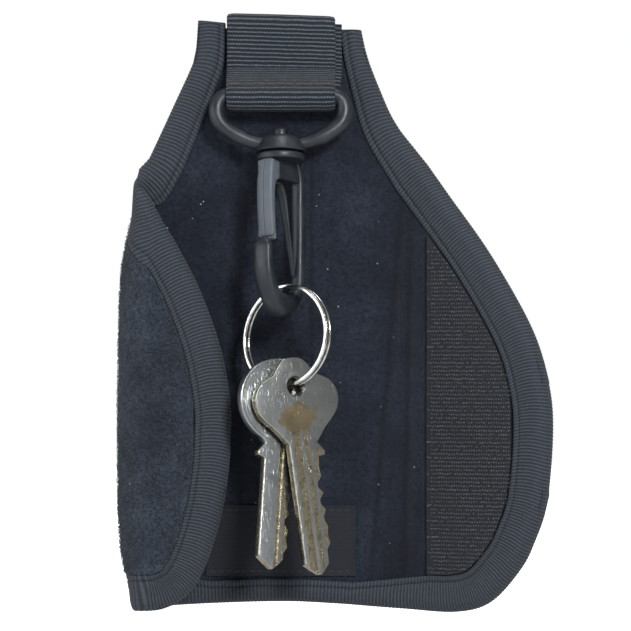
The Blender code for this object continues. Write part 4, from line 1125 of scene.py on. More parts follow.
def bartackRows(out):
    # three uneven passes of zigzag across the keeper's foot
    front = -(layers["lining"][1] + 2 * webbing["gap"] + 2 * webbing["thickness"])
    step, half = stitching["bartackStep"], stitching["bartackHalf"]
    rows = []
    for passes in range(stitching["bartackPasses"]):
        drop = stitching["bartackDrop"] * passes
        for i in range(round(2 * half / step)):
            x = -half + step * (i + random.uniform(-0.3, 0.3))
            high = stitching["bartackTop"] - random.uniform(0.0, 1.3) * mm
            low = high - random.uniform(0.9, 1.7) * mm
            start, stop = (high, low) if (i + passes) % 2 else (low, high)
            level = front + random.uniform(-0.08, 0.06) * mm
            rows.append((Vector((x, level, start - drop)),
                         Vector((x + step * 1.1, level, stop - drop)), out))
    return rows


def loopSeamRows(out):
    # the belt loop's seam shows through the lining as short uneven stitches
    rows = []
    first, last = stitching["loopSeamRun"]
    for z in stitching["loopSeams"]:
        x = first
        while x < last:
            up = z + random.uniform(-0.5, 0.5) * mm
            w = layers["lining"][1] + liningSwell(x, up) - stitching["loopSeamSunk"]
            run = random.uniform(0.3, 0.9) * mm
            a, b = onCloth(x, up, w), onCloth(x + run, up + random.uniform(-0.3, 0.3) * mm, w)
            rows.append((a, b, out))
            x += random.uniform(0.9, 1.9) * mm
    return rows


def tunnelRows(out):
    rear = 2 * webbing["gap"] + webbing["thickness"] - stitching["tunnelLift"]
    first, last = stitching["tunnelRun"]
    rows = []
    for z in stitching["tunnelSeams"]:
        x = first
        while x < last:
            at = Vector((x, rear, z))
            rows.append((at, at + Vector((stitching["tunnelStitch"], 0.0, 0.0)), out))
            x += stitching["tunnelStep"]
    return rows


def makeWebbingStitches():
    out = Vector((0.0, -1.0, 0.0))
    for name, rows, yarn, look in (
            ("bartackStitches", bartackRows(out), "bartackYarn", "darkThread"),
            ("loopSeamStitches", loopSeamRows(out), "loopSeamYarn", "darkThread"),
            ("tunnelStitches", tunnelRows(-out), "tunnelYarn", "thread")):
        threadStitches(name, rows, stitching[yarn], looks[look], "panel", "webbing")
    print("stitches made")


makeWebbingStitches()


# dee, snap hook, ring and keys

deePlace = (Matrix.Translation((0.0, -bar["depth"], bar["height"]))
            @ Matrix.Rotation(math.radians(-10.0), 4, "X"))
hookYaw = math.radians(233.0)
hookPlace = deePlace @ Matrix.Rotation(hookYaw, 4, "Z")
dee = {
    "halfWidth": 15.35 * mm, "drop": 12.1 * mm, "neck": 1.6 * mm, "step": 0.7 * mm,
    "neckFrom": 1.5 * mm, "neckRun": 6 * mm,
    "shares": [(0.27, 1.00), (0.48, 0.93), (0.74, 0.78), (0.93, 0.58), (1.00, 0.36),
               (0.97, 0.14), (0.84, 0.01), (0.55, 0.00), (0.00, 0.00)],
    "collar": [(1.5, -10.3), (3.7, -10.3), (4.15, -10.45), (4.75, -11.1), (5.35, -12.1),
               (5.95, -13.3), (6.2, -13.85), (6.1, -14.1), (5.7, -14.2), (1.5, -14.2)],
}


def turnedShape(name, profile, steps, material):
    # a closed profile of (radius, height) in mm, spun about the upright axis
    work = bmesh.new()
    corners = [work.verts.new((r * mm, 0.0, z * mm)) for r, z in profile]
    rim = [work.edges.new(pair) for pair in zip(corners, corners[1:])]
    if profile[0][0] > 0:
        rim.append(work.edges.new((corners[-1], corners[0])))
    bmesh.ops.spin(work, geom=corners + rim, cent=(0, 0, 0), axis=(0, 0, 1),
                   angle=math.tau, steps=steps, use_merge=True)
    bmesh.ops.remove_doubles(work, verts=work.verts, dist=0.001 * mm)
    bmesh.ops.recalc_face_normals(work, faces=work.faces)
    return finishMesh(work, name, material, 35.0)


def sweepRod(name, path, radius, sides, material):
    # a round rod along an open path that lies in the plane y = 0
    last = len(path) - 1

    def place(i, k):
        run = (path[min(i + 1, last)] - path[max(i - 1, 0)]).normalized()
        out = Vector((-run.z, 0.0, run.x))
        angle = math.tau * (k % sides) / sides
        return path[i] + out * radius(i) * math.cos(angle) + Vector(
            (0.0, radius(i) * math.sin(angle), 0.0))

    return gridShape(name, last, sides, place, material, weld=True, caps=True)


def makeDee():
    half = [(dee["halfWidth"] * u, -dee["drop"] * v) for u, v in dee["shares"]]
    loop = smoothLine(half + [(-u, v) for u, v in half[-2::-1]], 6)
    path = [Vector((p.x, 0.0, p.y)) for p in evenLine(loop, dee["step"])]
    last = len(path) - 1

    def radius(j):
        near = min(j, last - j) * dee["step"]
        share = easeStep((near - dee["neckFrom"]) / dee["neckRun"])
        return dee["neck"] + (bar["rod"] - dee["neck"]) * share

    rod = sweepRod("rod", path, radius, 24, looks["plastic"])
    collar = turnedShape("collar", dee["collar"], 64, looks["plastic"])
    piece = joinPieces("swivelDee", [rod, collar])
    settle(piece, deePlace)
    lay(piece, "satin_plastic", ("dee",), stands=["dee_loop"])


hook = {
    "reach": 8.0 * mm, "top": 16.3 * mm, "depth": 38.0 * mm, "thickness": 5.0 * mm,
    "shares": [
        (-0.82, -0.010), (-0.96, 0.080), (-1.05, 0.250), (-1.06, 0.450), (-1.05, 0.650),
        (-0.99, 0.800), (-0.74, 0.905), (-0.32, 0.978), (0.10, 1.000), (0.50, 0.955),
        (0.80, 0.860), (0.98, 0.750), (1.04, 0.640), (1.03, 0.562), (0.96, 0.524),
        (0.85, 0.514), (0.75, 0.532), (0.71, 0.590), (0.68, 0.675), (0.53, 0.768),
        (0.27, 0.828), (-0.05, 0.844), (-0.43, 0.840), (-0.63, 0.785), (-0.68, 0.700),
        (-0.70, 0.500), (-0.70, 0.300), (-0.68, 0.100), (-0.54, -0.010)],
    "pivotForward": 4.3 * mm, "pivotDrop": 19.2 * mm, "boss": 1.7 * mm, "pin": 0.8 * mm,
    "fall": 2.3 * mm, "dome": 2.6 * mm, "spineHalf": 1.65 * mm, "spineTo": -4.8 * mm,
    "spineFrom": -1.5 * mm, "domeStart": 0.10, "domeLeast": 0.12, "noseEnd": 15,
    "noseFrom": 4.8 * mm, "step": 0.45 * mm,
    "webBack": -6.4 * mm, "webRise": 0.85 * mm, "webThick": 2.6 * mm, "pinLength": 3.7 * mm,
    "stem": [(0.0, -8.4), (1.4, -8.4), (1.65, -8.6), (1.75, -9.0), (1.75, -10.0), (1.2, -10.0),
             (1.2, -14.6), (5.4, -14.6), (5.75, -14.75), (5.85, -15.05), (5.85, -15.9),
             (5.7, -16.2), (5.3, -16.3), (0.0, -16.3)],
    "stemSlot": (0.5 * mm, 8 * mm, 3.4 * mm), "stemTop": -8.4 * mm,
}


rimRules = {"straight": 0.02, "turn": 0.4, "look": 2.6, "ahead": 0.75, "half": 0.43, "slope": 0.35}


def roomInward(outline, inward, reach):
    # how far each point may move inward before it meets its neighbours or the far side
    count = len(outline)
    room = []
    for i, (p, way) in enumerate(zip(outline, inward)):
        before, after = p - outline[i - 1], outline[(i + 1) % count] - p
        turn = before.angle_signed(after, 0.0)
        curl = (before + after).dot(Vector((way.y, -way.x)))
        most = reach
        if turn * curl < 0 and abs(turn) > rimRules["straight"]:
            most = min(most, rimRules["turn"] * (before.length + after.length) / abs(turn))
        for q in outline:
            gap = q - p
            isNear = gap.length < rimRules["look"] * reach
            if isNear and gap.dot(way) > rimRules["ahead"] * gap.length:
                most = min(most, rimRules["half"] * gap.length)
        room.append(most)
    for _ in range(2):
        for i in [*range(count), *range(count - 1, -1, -1)]:
            for j in (i - 1, (i + 1) % count):
                near = room[j] + rimRules["slope"] * (outline[i] - outline[j]).length
                room[i] = min(room[i], near)
    return room


def inwardWays(outline):
    count = len(outline)
    ways = []
    for i in range(count):
        run = outline[(i + 1) % count] - outline[i - 1]
        ways.append(Vector((-run.y, run.x)).normalized())
    area = sum(a.x * b.y - b.x * a.y for a, b in zip(outline, outline[1:] + outline[:1]))
    return ways if area > 0 else [-way for way in ways]


def roundedPlate(name, outline, thickness, rounding, material, steps):
    # a plate in the plane y = 0 with a rounded rim: rings of the outline, moved inward
    count = len(outline)
    inward = inwardWays(outline)
    room = roomInward(outline, inward, rounding)
    half = []
    for k in range(steps + 1):
        angle = math.pi / 2 * k / steps
        half.append((1 - math.sin(angle), 1 - math.cos(angle)))
    rings = [(d, y, 1) for d, y in half] + [(d, y, -1) for d, y in half[::-1]]

    def place(i, k):
        d, y, side = rings[k]
        i = i % count
        p = outline[i] + inward[i] * d * room[i]
        return Vector((p.x, -side * (thickness / 2 - y * room[i]), p.y))

    return gridShape(name, count, len(rings) - 1, place, material, weld=True, caps=True,
                     angle=38.0)


def mouldedBody(name, outline, halfDepth, fall, power, material, steps=7, seam=(0.0, 0.0)):
    # a full, crowned section: its depth falls from the middle to a parting line at the rim
    count = len(outline)
    inward = inwardWays(outline)
    room = roomInward(outline, inward, fall)
    rings = []
    for k in range(steps + 1):
        angle = math.pi / 2 * k / steps
        rings.append((1 - math.sin(angle) ** power, math.cos(angle) ** power, 0.0))
    seamHalf, seamDeep = seam
    if seamDeep:
        rings[-1] = (0.0, None, 0.0)
        rings.append((0.0, None, seamDeep))
    rings += [(d, None if h is None else -h, cut) for d, h, cut in rings[-2::-1]]

    def place(i, k):
        d, h, cut = rings[k]
        i = i % count
        p = outline[i] + inward[i] * (d * room[i] + cut)
        if h is None:
            h = 0.0 if cut else math.copysign(seamHalf, len(rings) / 2 - k)
        else:
            h *= halfDepth(outline[i])
        return Vector((p.x, -h, p.y))

    return gridShape(name, count, len(rings) - 1, place, material, weld=True, caps=True,
                     angle=50.0)


def hookLine(shares, top, depth, step):
    line = smoothLine([(hook["reach"] * u, -top - depth * v) for u, v in shares], 8, closed=True)
    return evenLine(line, step, closed=True)


def hookDepth(point):
    # a slim spine, a full lower bow, and a nose that ends in a dome
    full = hook["thickness"] / 2
    share = easeStep((point.x - hook["spineTo"]) / (hook["spineFrom"] - hook["spineTo"]))
    half = hook["spineHalf"] + (full - hook["spineHalf"]) * share
    down = -point.y - hook["top"] - hook["depth"] * hook["shares"][hook["noseEnd"]][1]
    if point.x < hook["noseFrom"] or down > hook["dome"]:
        return half
    share = 1 - max(0.0, down / hook["dome"] + hook["domeStart"])
    return half * math.sqrt(max(hook["domeLeast"], 1 - share * share))


def makeHook():
    outline = hookLine(hook["shares"], hook["top"], hook["depth"], hook["step"])
    body = mouldedBody("hook", outline, hookDepth, hook["fall"], 0.85, looks["plastic"])
    drop, forward, boss = hook["pivotDrop"], hook["pivotForward"], hook["boss"]
    top = -hook["top"] + hook["webRise"]
    web = [Vector((hook["webBack"], top)), Vector((hook["webBack"], -drop - boss))]
    for i in range(13):
        angle = -math.pi / 2 + math.pi / 2 * i / 12
        web.append(Vector((forward + boss * math.cos(angle), -drop + boss * math.sin(angle))))
    web.append(Vector((forward + boss / 2, top)))
    carve(body, roundedPlate("web", web, hook["webThick"], 0.2 * mm, None, 2), "UNION")
    carve(body, roundTool(hook["pin"], hook["pinLength"], (forward, 0.0, -drop), 32), "UNION")
    carve(body, turnedShape("stem", hook["stem"], 64, None), "UNION")
    carve(body, boxTool(hook["stemSlot"], (0.0, 0.0, hook["stemTop"])))
    body.name = "swivelSnapHook"
    settle(body, hookPlace)
    lay(body, "satin_plastic", ("snap_hook",), stands=["hook_body"])


def boxTool(size, place):
    work = bmesh.new()
    bmesh.ops.create_cube(work, size=1.0)
    bmesh.ops.scale(work, vec=size, verts=work.verts)
    bmesh.ops.translate(work, vec=place, verts=work.verts)
    return finishMesh(work, "tool", None)


def roundTool(radius, length, place, steps=48):
    # a cutter along y
    work = bmesh.new()
    bmesh.ops.create_cone(work, cap_ends=True, segments=steps, radius1=radius, radius2=radius,
                          depth=length)
    bmesh.ops.rotate(work, cent=(0, 0, 0), matrix=Matrix.Rotation(math.pi / 2, 3, "X"),
                     verts=work.verts)
    bmesh.ops.translate(work, vec=place, verts=work.verts)
    return finishMesh(work, "tool", None)


gate = {
    "drop": 19.032 * mm, "gap": 0.4 * mm, "width": 4.6 * mm, "crown": 1.9 * mm,
    "step": 0.3 * mm, "power": 0.75, "seam": (0.2 * mm, 0.3 * mm), "slotThick": 3.2 * mm,
    "bore": 0.2 * mm, "boreLength": 3.9 * mm, "slotFront": 1.92 * mm, "slotBack": 3.0 * mm,
    "slotLine": [(-3.0, 5.0), (1.15, 5.0), (1.45, 2.2), (1.85, 0.8)],
    "tongueHalf": 1.2, "tongueThin": 0.6, "tongueRoot": 0.3, "tongueRun": 1.1,
    "tongueFall": 0.5 * mm, "tongueTip": (-0.55, 1.36), "tongueBase": (0.05, 0.42),
    "shares": [
        (0.78, 0.000), (0.85, 0.120), (0.885, 0.330), (0.87, 0.600), (0.815, 0.850),
        (0.76, 0.990), (0.67, 0.995), (0.655, 1.030), (0.57, 1.035), (0.55, 0.850),
        (0.575, 0.600), (0.565, 0.400), (0.50, 0.290), (0.38, 0.245), (0.325, 0.140),
        (0.37, 0.030), (0.50, -0.002)],
    "spring": [
        (0.40, 0.302), (0.16, 0.330), (0.03, 0.420), (-0.10, 0.600), (-0.30, 0.950),
        (-0.49, 1.300), (-0.575, 1.440), (-0.615, 1.430), (-0.575, 1.280), (-0.40, 0.950),
        (-0.23, 0.600), (-0.13, 0.400), (0.02, 0.285), (0.36, 0.265)],
}


def gateSlot(pivot):
    # room for the web: close to it in front, wide enough behind for the gate's swing
    x, z = pivot[0], pivot[2]
    line = [(x + along * mm, z + up * mm) for along, up in gate["slotLine"]]
    for start, radius in ((0.0, gate["slotFront"]), (-math.pi / 2, gate["slotBack"])):
        for i in range(9):
            angle = start - math.pi / 2 * i / 8
            line.append((x + radius * math.cos(angle), z + radius * math.sin(angle)))
    return [Vector(p) for p in line]


def makeGate():
    top = hook["top"] + gate["gap"]
    depth = gate["drop"] - gate["gap"]
    outline = hookLine(gate["shares"], top, depth, gate["step"])
    lever = mouldedBody("lever", outline, lambda p: gate["width"] / 2, gate["crown"],
                        gate["power"], looks["gate"], seam=gate["seam"])
    pivot = (hook["pivotForward"], 0.0, -hook["pivotDrop"])
    carve(lever, roundedPlate("slot", gateSlot(pivot), gate["slotThick"], 0.1 * mm, None, 2))
    carve(lever, roundTool(hook["pin"] + gate["bore"], gate["boreLength"], pivot, 32))
    lever.name = "gateLever"
    settle(lever, hookPlace)
    lay(lever, "gate_plastic", ("gate",), stands=["gate_lever"])
    outline = hookLine(gate["spring"], top, depth, gate["step"])
    root = -top - depth * gate["tongueRoot"]

    def tongueHalf(point):
        share = easeStep((root - point.y) / (depth * gate["tongueRun"]))
        return (gate["tongueHalf"] - gate["tongueThin"] * share) * mm

    tongue = mouldedBody("gateTongue", outline, tongueHalf, gate["tongueFall"], 1.0,
                         looks["plastic"], 4)
    settle(tongue, hookPlace)
    tip, base = (hookPlace @ Vector((hook["reach"] * along, 0.0, -top - depth * down))
                 for along, down in (gate["tongueTip"], gate["tongueBase"]))
    lay(tongue, "satin_plastic", ("snap_hook", "gate"), tip, base, stands=["gate_spring"])


ring = {
    "outer": 25.0 * mm, "radial": 1.2 * mm, "axial": 0.9 * mm, "pitch": 1.35 * mm,
    "endAngle": math.radians(-40.0), "alongHook": -1.2 * mm, "sideways": 1.0 * mm,
    "centreDrop": 58.658 * mm, "steps": 120, "sides": 12, "power": 0.55,
}
ringRadius = (ring["outer"] - ring["radial"]) / 2
ringCentre = Vector((ring["alongHook"], ring["sideways"], -ring["centreDrop"]))


def makeRing():
    steps, sides = ring["steps"], ring["sides"]
    section = []
    for k in range(sides):
        turn = math.tau * (k + 0.5) / sides
        section.append([math.copysign(abs(way) ** ring["power"], way) * wide / 2
                        for way, wide in ((math.cos(turn), ring["radial"]),
                                          (math.sin(turn), ring["axial"]))])

    def place(i, k):
        angle = ring["endAngle"] + math.tau * i / steps
        axial = ring["pitch"] * (i / steps - 1.0)
        out, along = section[k % sides]
        r = ringRadius + out
        return Vector((axial + along, r * math.sin(angle), -r * math.cos(angle)))

    wire = gridShape("splitRing", 2 * steps, sides, place, looks["ring"], weld=True, caps=True,
                     angle=50.0)
    settle(wire, hookPlace @ Matrix.Translation(ringCentre))
    lay(wire, "ring_steel", ("ring",), stands=["split_ring"])


keys = {
    "thickness": 2.0 * mm, "hole": 2.45 * mm, "top": 6.5 * mm, "seatDrop": 0.5 * mm,
    "bladeWidth": 7.8 * mm, "tip": 2.6 * mm,
    "stopWidth": 1.9 * mm, "stopDrop": 3.2 * mm, "spacing": 4.0 * mm, "cutDepth": 2.6 * mm,
    "yaw": math.radians(30.0), "step": 0.3 * mm, "rounding": 0.25 * mm, "flat": 0.85,
    "milled": 0.2 * mm, "pastTip": 2 * mm, "stopTaper": 0.9, "stopFoot": 0.2 * mm,
    "firstCut": 0.75, "cutFlat": 1.0 * mm, "tipHalf": 0.4 * mm,
    "front": {"station": 7.5, "lean": -9.0, "halfWidth": 11.4 * mm, "bow": 20.6 * mm,
              "blade": 31.4 * mm,
              "cuts": [0.10, 0.50, 0.45, 0.28, 0.12, 0.42],
              "grooves": [(0.14, 0.40, 0.5, -1, 3.0), (0.52, 0.67, 0.42, -1, 2.2),
                          (0.80, 1.40, 0.5, -1, -1.5), (0.30, 0.55, 0.35, 1, 2.5)],
              "shares": [(0.00, 0.00), (0.19, 0.012), (0.31, 0.06), (0.42, 0.13), (0.52, 0.20),
                         (0.68, 0.24), (0.84, 0.29), (0.96, 0.38), (1.00, 0.50), (0.94, 0.63),
                         (0.78, 0.74), (0.59, 0.84), (0.46, 0.93)]},
    "back": {"station": -9.5, "lean": 4.0, "halfWidth": 11.4 * mm, "bow": 20.8 * mm,
             "blade": 29.8 * mm,
             "cuts": [0.18, 0.34, 0.20, 0.45, 0.15, 0.36],
             "grooves": [(0.52, 0.66, 0.45, -1, 1.0), (0.76, 1.40, 0.5, -1, -1.0),
                         (0.30, 0.55, 0.35, 1, 1.0)],
             "rims": [("rim", 0.5 * mm, 0.42 * mm, 0.25 * mm, 0, 120),
                      ("beads", 1.45 * mm, 0.2 * mm, 0.16 * mm, 116, 464)]},
}


def keyPlace(which):
    station = math.radians(keys[which]["station"])
    share = ((station - ring["endAngle"]) % math.tau) / math.tau
    hole = Vector((ring["pitch"] * (share - 0.5), ringRadius * math.sin(station),
                   -ringRadius * math.cos(station)))
    return (hookPlace @ Matrix.Translation(ringCentre + hole)
            @ Matrix.Rotation(keys["yaw"] - hookYaw, 4, "Z")
            @ Matrix.Rotation(math.radians(keys[which]["lean"]), 4, "Y"))


def bladeLine(neck, stopSide, cuts, blade):
    # blade from its right shoulder down the bitting, round the tip and up the plain side
    half, drop, width = keys["bladeWidth"] / 2, keys["stopDrop"], keys["stopWidth"]
    end = neck - blade
    line = []
    if stopSide > 0:
        line += [(half, neck), (half + width, neck - drop + width / 2),
                 (half + width * keys["stopTaper"], neck - drop),
                 (half, neck - drop - keys["stopFoot"])]
    else:
        line += [(half, neck), (half, neck - drop)]
    for i, share in enumerate(cuts):
        middle = neck - drop - keys["spacing"] * (i + keys["firstCut"])
        depth = keys["cutDepth"] * share
        line += [(half, middle + keys["spacing"] / 2),
                 (half - depth, middle + keys["cutFlat"] / 2),
                 (half - depth, middle - keys["cutFlat"] / 2)]
    line += [(half - keys["cutDepth"] * cuts[-1], end + keys["tip"]), (keys["tipHalf"], end),
             (-keys["tipHalf"], end), (-half, end + keys["tip"])]
    if stopSide < 0:
        line += [(-half, neck - drop - width / 4),
                 (-half - width * keys["stopTaper"], neck - drop),
                 (-half - width, neck - drop + width / 2)]
    line += [(-half, neck)]
    return [Vector(p) for p in line]


def rimRing(name, middle, key, inset, half, high, beads, steps):
    # a raised ring round the bow, plain or broken into small beads
    wide, tall = key["halfWidth"] - inset, key["bow"] / 2 - inset
    sides = 8

    def place(i, k):
        turn = math.tau * (i % steps) / steps
        way = Vector((math.sin(turn), 0.0, math.cos(turn)))
        at = Vector((wide * way.x, 0.0, middle + tall * way.z))
        bead = 1.0 if not beads else 0.75 + 0.25 * abs(math.cos(turn * beads / 2))
        angle = math.tau * ((k % sides) + 0.5) / sides
        across = half * bead * math.cos(angle)
        return at + Vector((way.x * across, (keys["thickness"] / 2 + high * bead)
                            * math.sin(angle), way.z * across))

    return gridShape(name, steps, sides, place, None, weld=True)


def makeKey(which, name, node, slot, stopSide):
    key = keys[which]
    top = keys["top"]
    neck = top - key["bow"]
    if which == "front":
        bow = smoothLine([(key["halfWidth"] * u, top - key["bow"] * v)
                          for u, v in key["shares"]], 8)
    else:
        middle = top - key["bow"] / 2
        turns = [math.pi * (i + 0.5) / 40 for i in range(40)]
        bow = [Vector((key["halfWidth"] * math.sin(a), middle + key["bow"] / 2 * math.cos(a)))
               for a in turns]
        bow = [p for p in bow if p.y > neck + 0.3 * mm and (p.y > middle or p.x
                                                           > keys["bladeWidth"] / 2 + 0.2 * mm)]
    left = [Vector((-p.x, p.y)) for p in bow[::-1] if abs(p.x) > 0.01 * mm]
    outline = evenLine(bow + bladeLine(neck, stopSide, key["cuts"], key["blade"]) + left,
                       keys["step"], closed=True)
    plate = roundedPlate(name, outline, keys["thickness"], keys["rounding"],
                         looks[which + "Key"], 3)
    carve(plate, roundTool(keys["hole"], 8 * mm, (0.0, 0.0, -keys["seatDrop"])))
    bottom = neck - key["blade"] - keys["pastTip"]
    for start, stop, depth, side, rise in key["grooves"]:
        x = keys["bladeWidth"] * ((start + stop) / 2 - 0.5)
        length = neck + rise * mm - bottom
        carve(plate, boxTool((keys["bladeWidth"] * (stop - start), 2 * depth * mm, length),
                             (x, side * keys["thickness"] / 2, bottom + length / 2)))
    if which == "back":
        plate = joinPieces(name, [plate] + [
            rimRing(kind, middle, key, *form) for kind, *form in key["rims"]])
    plate.name = name
    # the edges and the milled grooves show a warmer metal
    plate.data.materials.append(looks["brass"])
    floor = keys["thickness"] / 2 - keys["milled"]
    for face in plate.data.polygons:
        worn = abs(face.normal.y) < keys["flat"] and (which == "front" or face.center.z < neck)
        milled = face.center.z < neck and abs(face.center.y) < floor
        if worn or milled:
            face.material_index = 1
    settle(plate, keyPlace(which))
    return lay(plate, slot, (which + "_key",), stands=[node])


makeDee()
makeHook()
makeGate()
makeRing()
makeKey("front", "frontKey", "front_key", "front_key_nickel", 1)
makeKey("back", "backKey", "back_key", "back_key_nickel", -1)
print("hardware made")


# closure tapes and label

label = {
    "size": (36.0 * mm, 17.0 * mm), "gap": 0.8 * mm, "lift": 0.1 * mm, "rows": 30, "cols": 60,
    "thick": 0.45 * mm, "sunk": 0.18 * mm, "seamInset": 1.1 * mm, "seamHalf": 0.5 * mm,
    "stitchFrom": 1.0 * mm, "stitchTo": 1.6 * mm, "stitch": 1.3 * mm, "stitchStep": 1.9 * mm,
    "stitchLift": 0.3 * mm, "yarn": 0.12 * mm,
}
pile = {
    "inset": 8.8 * mm, "pastMid": 1.6 * mm, "back": -0.1 * mm, "face": -1.25 * mm,
    "cell": 0.6 * mm, "bumps": [((900, 900, 1.0), -0.28 * mm), ((260, 260, 5.0), -0.22 * mm)],
    "foldDepth": -0.7 * mm, "step": 0.82 * mm, "shift": 0.35, "lean": 0.6,
    "radius": (0.28, 0.5), "sunk": 0.1 * mm, "yarn": 0.075 * mm,
}
hookTape = {
    "inset": 4.8 * mm, "farInset": 8.9 * mm, "lift": 0.3 * mm, "thick": 1.0 * mm,
    "cell": 0.9 * mm, "rim": 0.2 * mm, "rowStep": 0.95 * mm, "colStep": 0.66 * mm,
    "clear": 0.3 * mm, "kept": 0.94, "shift": 0.1, "sunk": 0.05 * mm,
    "firstRow": 0.6 * mm, "tall": 0.55 * mm, "short": 0.32 * mm, "foot": 0.2 * mm,
    "tip": 0.15 * mm,
}


def trimmedGrid(name, low, high, wBack, wFront, cell, material, inset, bump):
    # a patch of tape inside the bindings, its rim following the edge at a distance
    rim = [edge[i] + edgeInward[i] * (legWidth(edge[i]) + inset)
           for i in range(0, len(edge), 4)]
    low = max(low, min(p.x for p in rim) + 0.3 * mm)
    high = min(high, max(p.x for p in rim) - 0.3 * mm)
    cols = max(3, round((high - low) / cell))
    spans = [edgeHeights(rim, low + (high - low) * j / cols) for j in range(cols + 1)]
    tall = max(b - a for a, b in spans)
    rows = round(tall / cell)

    def around(j, k):
        i, isFront = faceRow(k, rows)
        u = low + (high - low) * j / cols
        bottom, top = spans[j]
        v = bottom + (top - bottom) * i / rows
        w = wFront + bump(u, v) if isFront else wBack
        return onCloth(u, v, w)

    return gridShape(name, cols, 2 * rows + 2, around, material, weld=True, caps=True), spans


def makeLabel():
    low = edgeSpan(0.0)[0] + binding["bottomLeg"] + label["gap"]
    size = label["size"]
    face = layers["lining"][1] + label["lift"]
    rows, cols = label["rows"], label["cols"]

    def around(i, k):
        j, isFront = faceRow(k, cols)
        u = -size[0] / 2 + size[0] * j / cols
        v = low + size[1] * i / rows
        rim = min(u + size[0] / 2, size[0] / 2 - u, v - low, low + size[1] - v)
        off = (rim - label["seamInset"]) / label["seamHalf"]
        lift = label["thick"] - label["sunk"] * math.exp(-off ** 2)
        return onCloth(u, v, face + liningSwell(u, v) + (lift if isFront else 0.0))

    piece = gridShape("bareLabel", rows, 2 * cols + 2, around, looks["label"],
                      (size[1], 2 * size[0]), weld=True, caps=True)
    lay(piece, "label_weave", ("panel",), stands=["label"])
    out = Vector((0.0, -1.0, 0.0))
    stitches = []
    for v in (low + label["seamInset"], low + size[1] - label["seamInset"]):
        x = -size[0] / 2 + label["stitchFrom"]
        while x < size[0] / 2 - label["stitchTo"]:
            w = face + liningSwell(x, v) + label["stitchLift"]
            stitches.append((onCloth(x, v, w), onCloth(x + label["stitch"], v, w), out))
            x += label["stitchStep"]
    threadStitches("labelStitches", stitches, label["yarn"], looks["darkThread"], "panel",
                   "label_weave")


def addLoop(work, base, out, side, radius, wire):
    # half a ring of thin yarn that stands on the cloth
    verts = bmesh.ops.create_grid(work, x_segments=5, y_segments=3, size=0.5)["verts"]
    for vert in verts:
        along = math.pi * (-0.1 + 1.2 * (vert.co.x + 0.5))
        around = math.tau * round((vert.co.y + 0.5) * 3) / 3
        reach = radius + wire * math.cos(around)
        third = out.cross(side)
        vert.co = (base + side * reach * math.cos(along) + out * reach * math.sin(along)
                   + third * wire * math.sin(around))


def shake(most):
    return random.uniform(-most, most)


def makePile():
    low, high = -leftReach + pile["inset"], -leftMid + pile["pastMid"]
    face, step = pile["face"], pile["step"]

    def fuzz(u, v):
        return sum(smallBump(u, v, *bump) for bump in pile["bumps"])

    piece, spans = trimmedGrid("loopPile", low, high, pile["back"], face, pile["cell"],
                               looks["pile"], 0.0, fuzz)
    limits = foldLimits("left", 2, pile["foldDepth"])
    lay(piece, "loop_pile", ("left_gusset", "left_flap"), *limits, stands=["loop_pile"])
    work = bmesh.new()
    cols = round((high - low) / step)
    for j in range(1, cols):
        bottom, top = spans[round(j / cols * (len(spans) - 1))]
        for i in range(max(1, round((top - bottom) / step))):
            u = low + (high - low) * j / cols + shake(pile["shift"]) * mm
            v = bottom + step * (i + random.uniform(0.2, 0.8))
            base = onCloth(u, v, face)
            out = (onCloth(u, v, face - 1 * mm) - base).normalized()
            flat = (onCloth(u, v + 1 * mm, face) - base).normalized()
            side = Matrix.Rotation(random.uniform(0, math.tau), 3, out) @ flat
            lean = (out + pile["lean"] * Vector([shake(1) for _ in range(3)])).normalized()
            side = (side - lean * side.dot(lean)).normalized()
            radius = random.uniform(*pile["radius"]) * mm
            addLoop(work, base - out * pile["sunk"], lean, side, radius, pile["yarn"])
    loops = finishMesh(work, "pileLoops", looks["pile"], 80.0)
    lay(loops, "loop_pile", ("left_gusset", "left_flap"), *limits)


def addPost(work, foot, out, tall):
    post = bmesh.ops.create_cone(work, cap_ends=True, segments=5, radius1=hookTape["foot"],
                                 radius2=hookTape["tip"], depth=1.0)["verts"]
    turn = Vector((0, 0, 1)).rotation_difference(out).to_matrix().to_4x4()
    place = Matrix.Translation(foot + out * tall / 2) @ turn
    bmesh.ops.transform(work, verts=post, matrix=place @ Matrix.Diagonal((1.0, 1.0, tall, 1.0)))


def makeHookTape():
    low, high = rightEnd + hookTape["inset"], rightReach - hookTape["farInset"]
    face = layers["lining"][1] + hookTape["lift"]
    top, clear = face + hookTape["thick"], hookTape["clear"]
    piece, spans = trimmedGrid("hookTapeBase", low, high, face, top, hookTape["cell"],
                               looks["hookTape"], hookTape["rim"], lambda u, v: 0.0)
    lay(piece, "hook_tape_nylon", ("right_flap",), stands=["hook_tape"])
    work = bmesh.new()
    last = len(spans) - 1
    v = min(bottom for bottom, up in spans) + hookTape["firstRow"]
    highest = max(up for bottom, up in spans)
    row = 0
    while v < highest:
        u = low + (0.5 if row % 4 == 1 else 1.5) * mm
        while u < high - clear:
            bottom, up = spans[min(last, round((u - low) / (high - low) * last))]
            if bottom + clear < v < up - clear and random.random() < hookTape["kept"]:
                foot = onCloth(u, v + shake(hookTape["shift"]) * mm, top - hookTape["sunk"])
                out = (onCloth(u, v, top + 1 * mm) - onCloth(u, v, top)).normalized()
                addPost(work, foot, out, hookTape["tall" if row % 2 else "short"])
            u += hookTape["colStep"]
        v += hookTape["rowStep"]
        row += 1
    hooks = finishMesh(work, "hookTapeHooks", looks["hookTipsPaintedHighlight"], 50.0)
    lay(hooks, "hook_tape_nylon", ("right_flap",))


makeLabel()
makePile()
makeHookTape()
print("tapes and label made")


# the studio

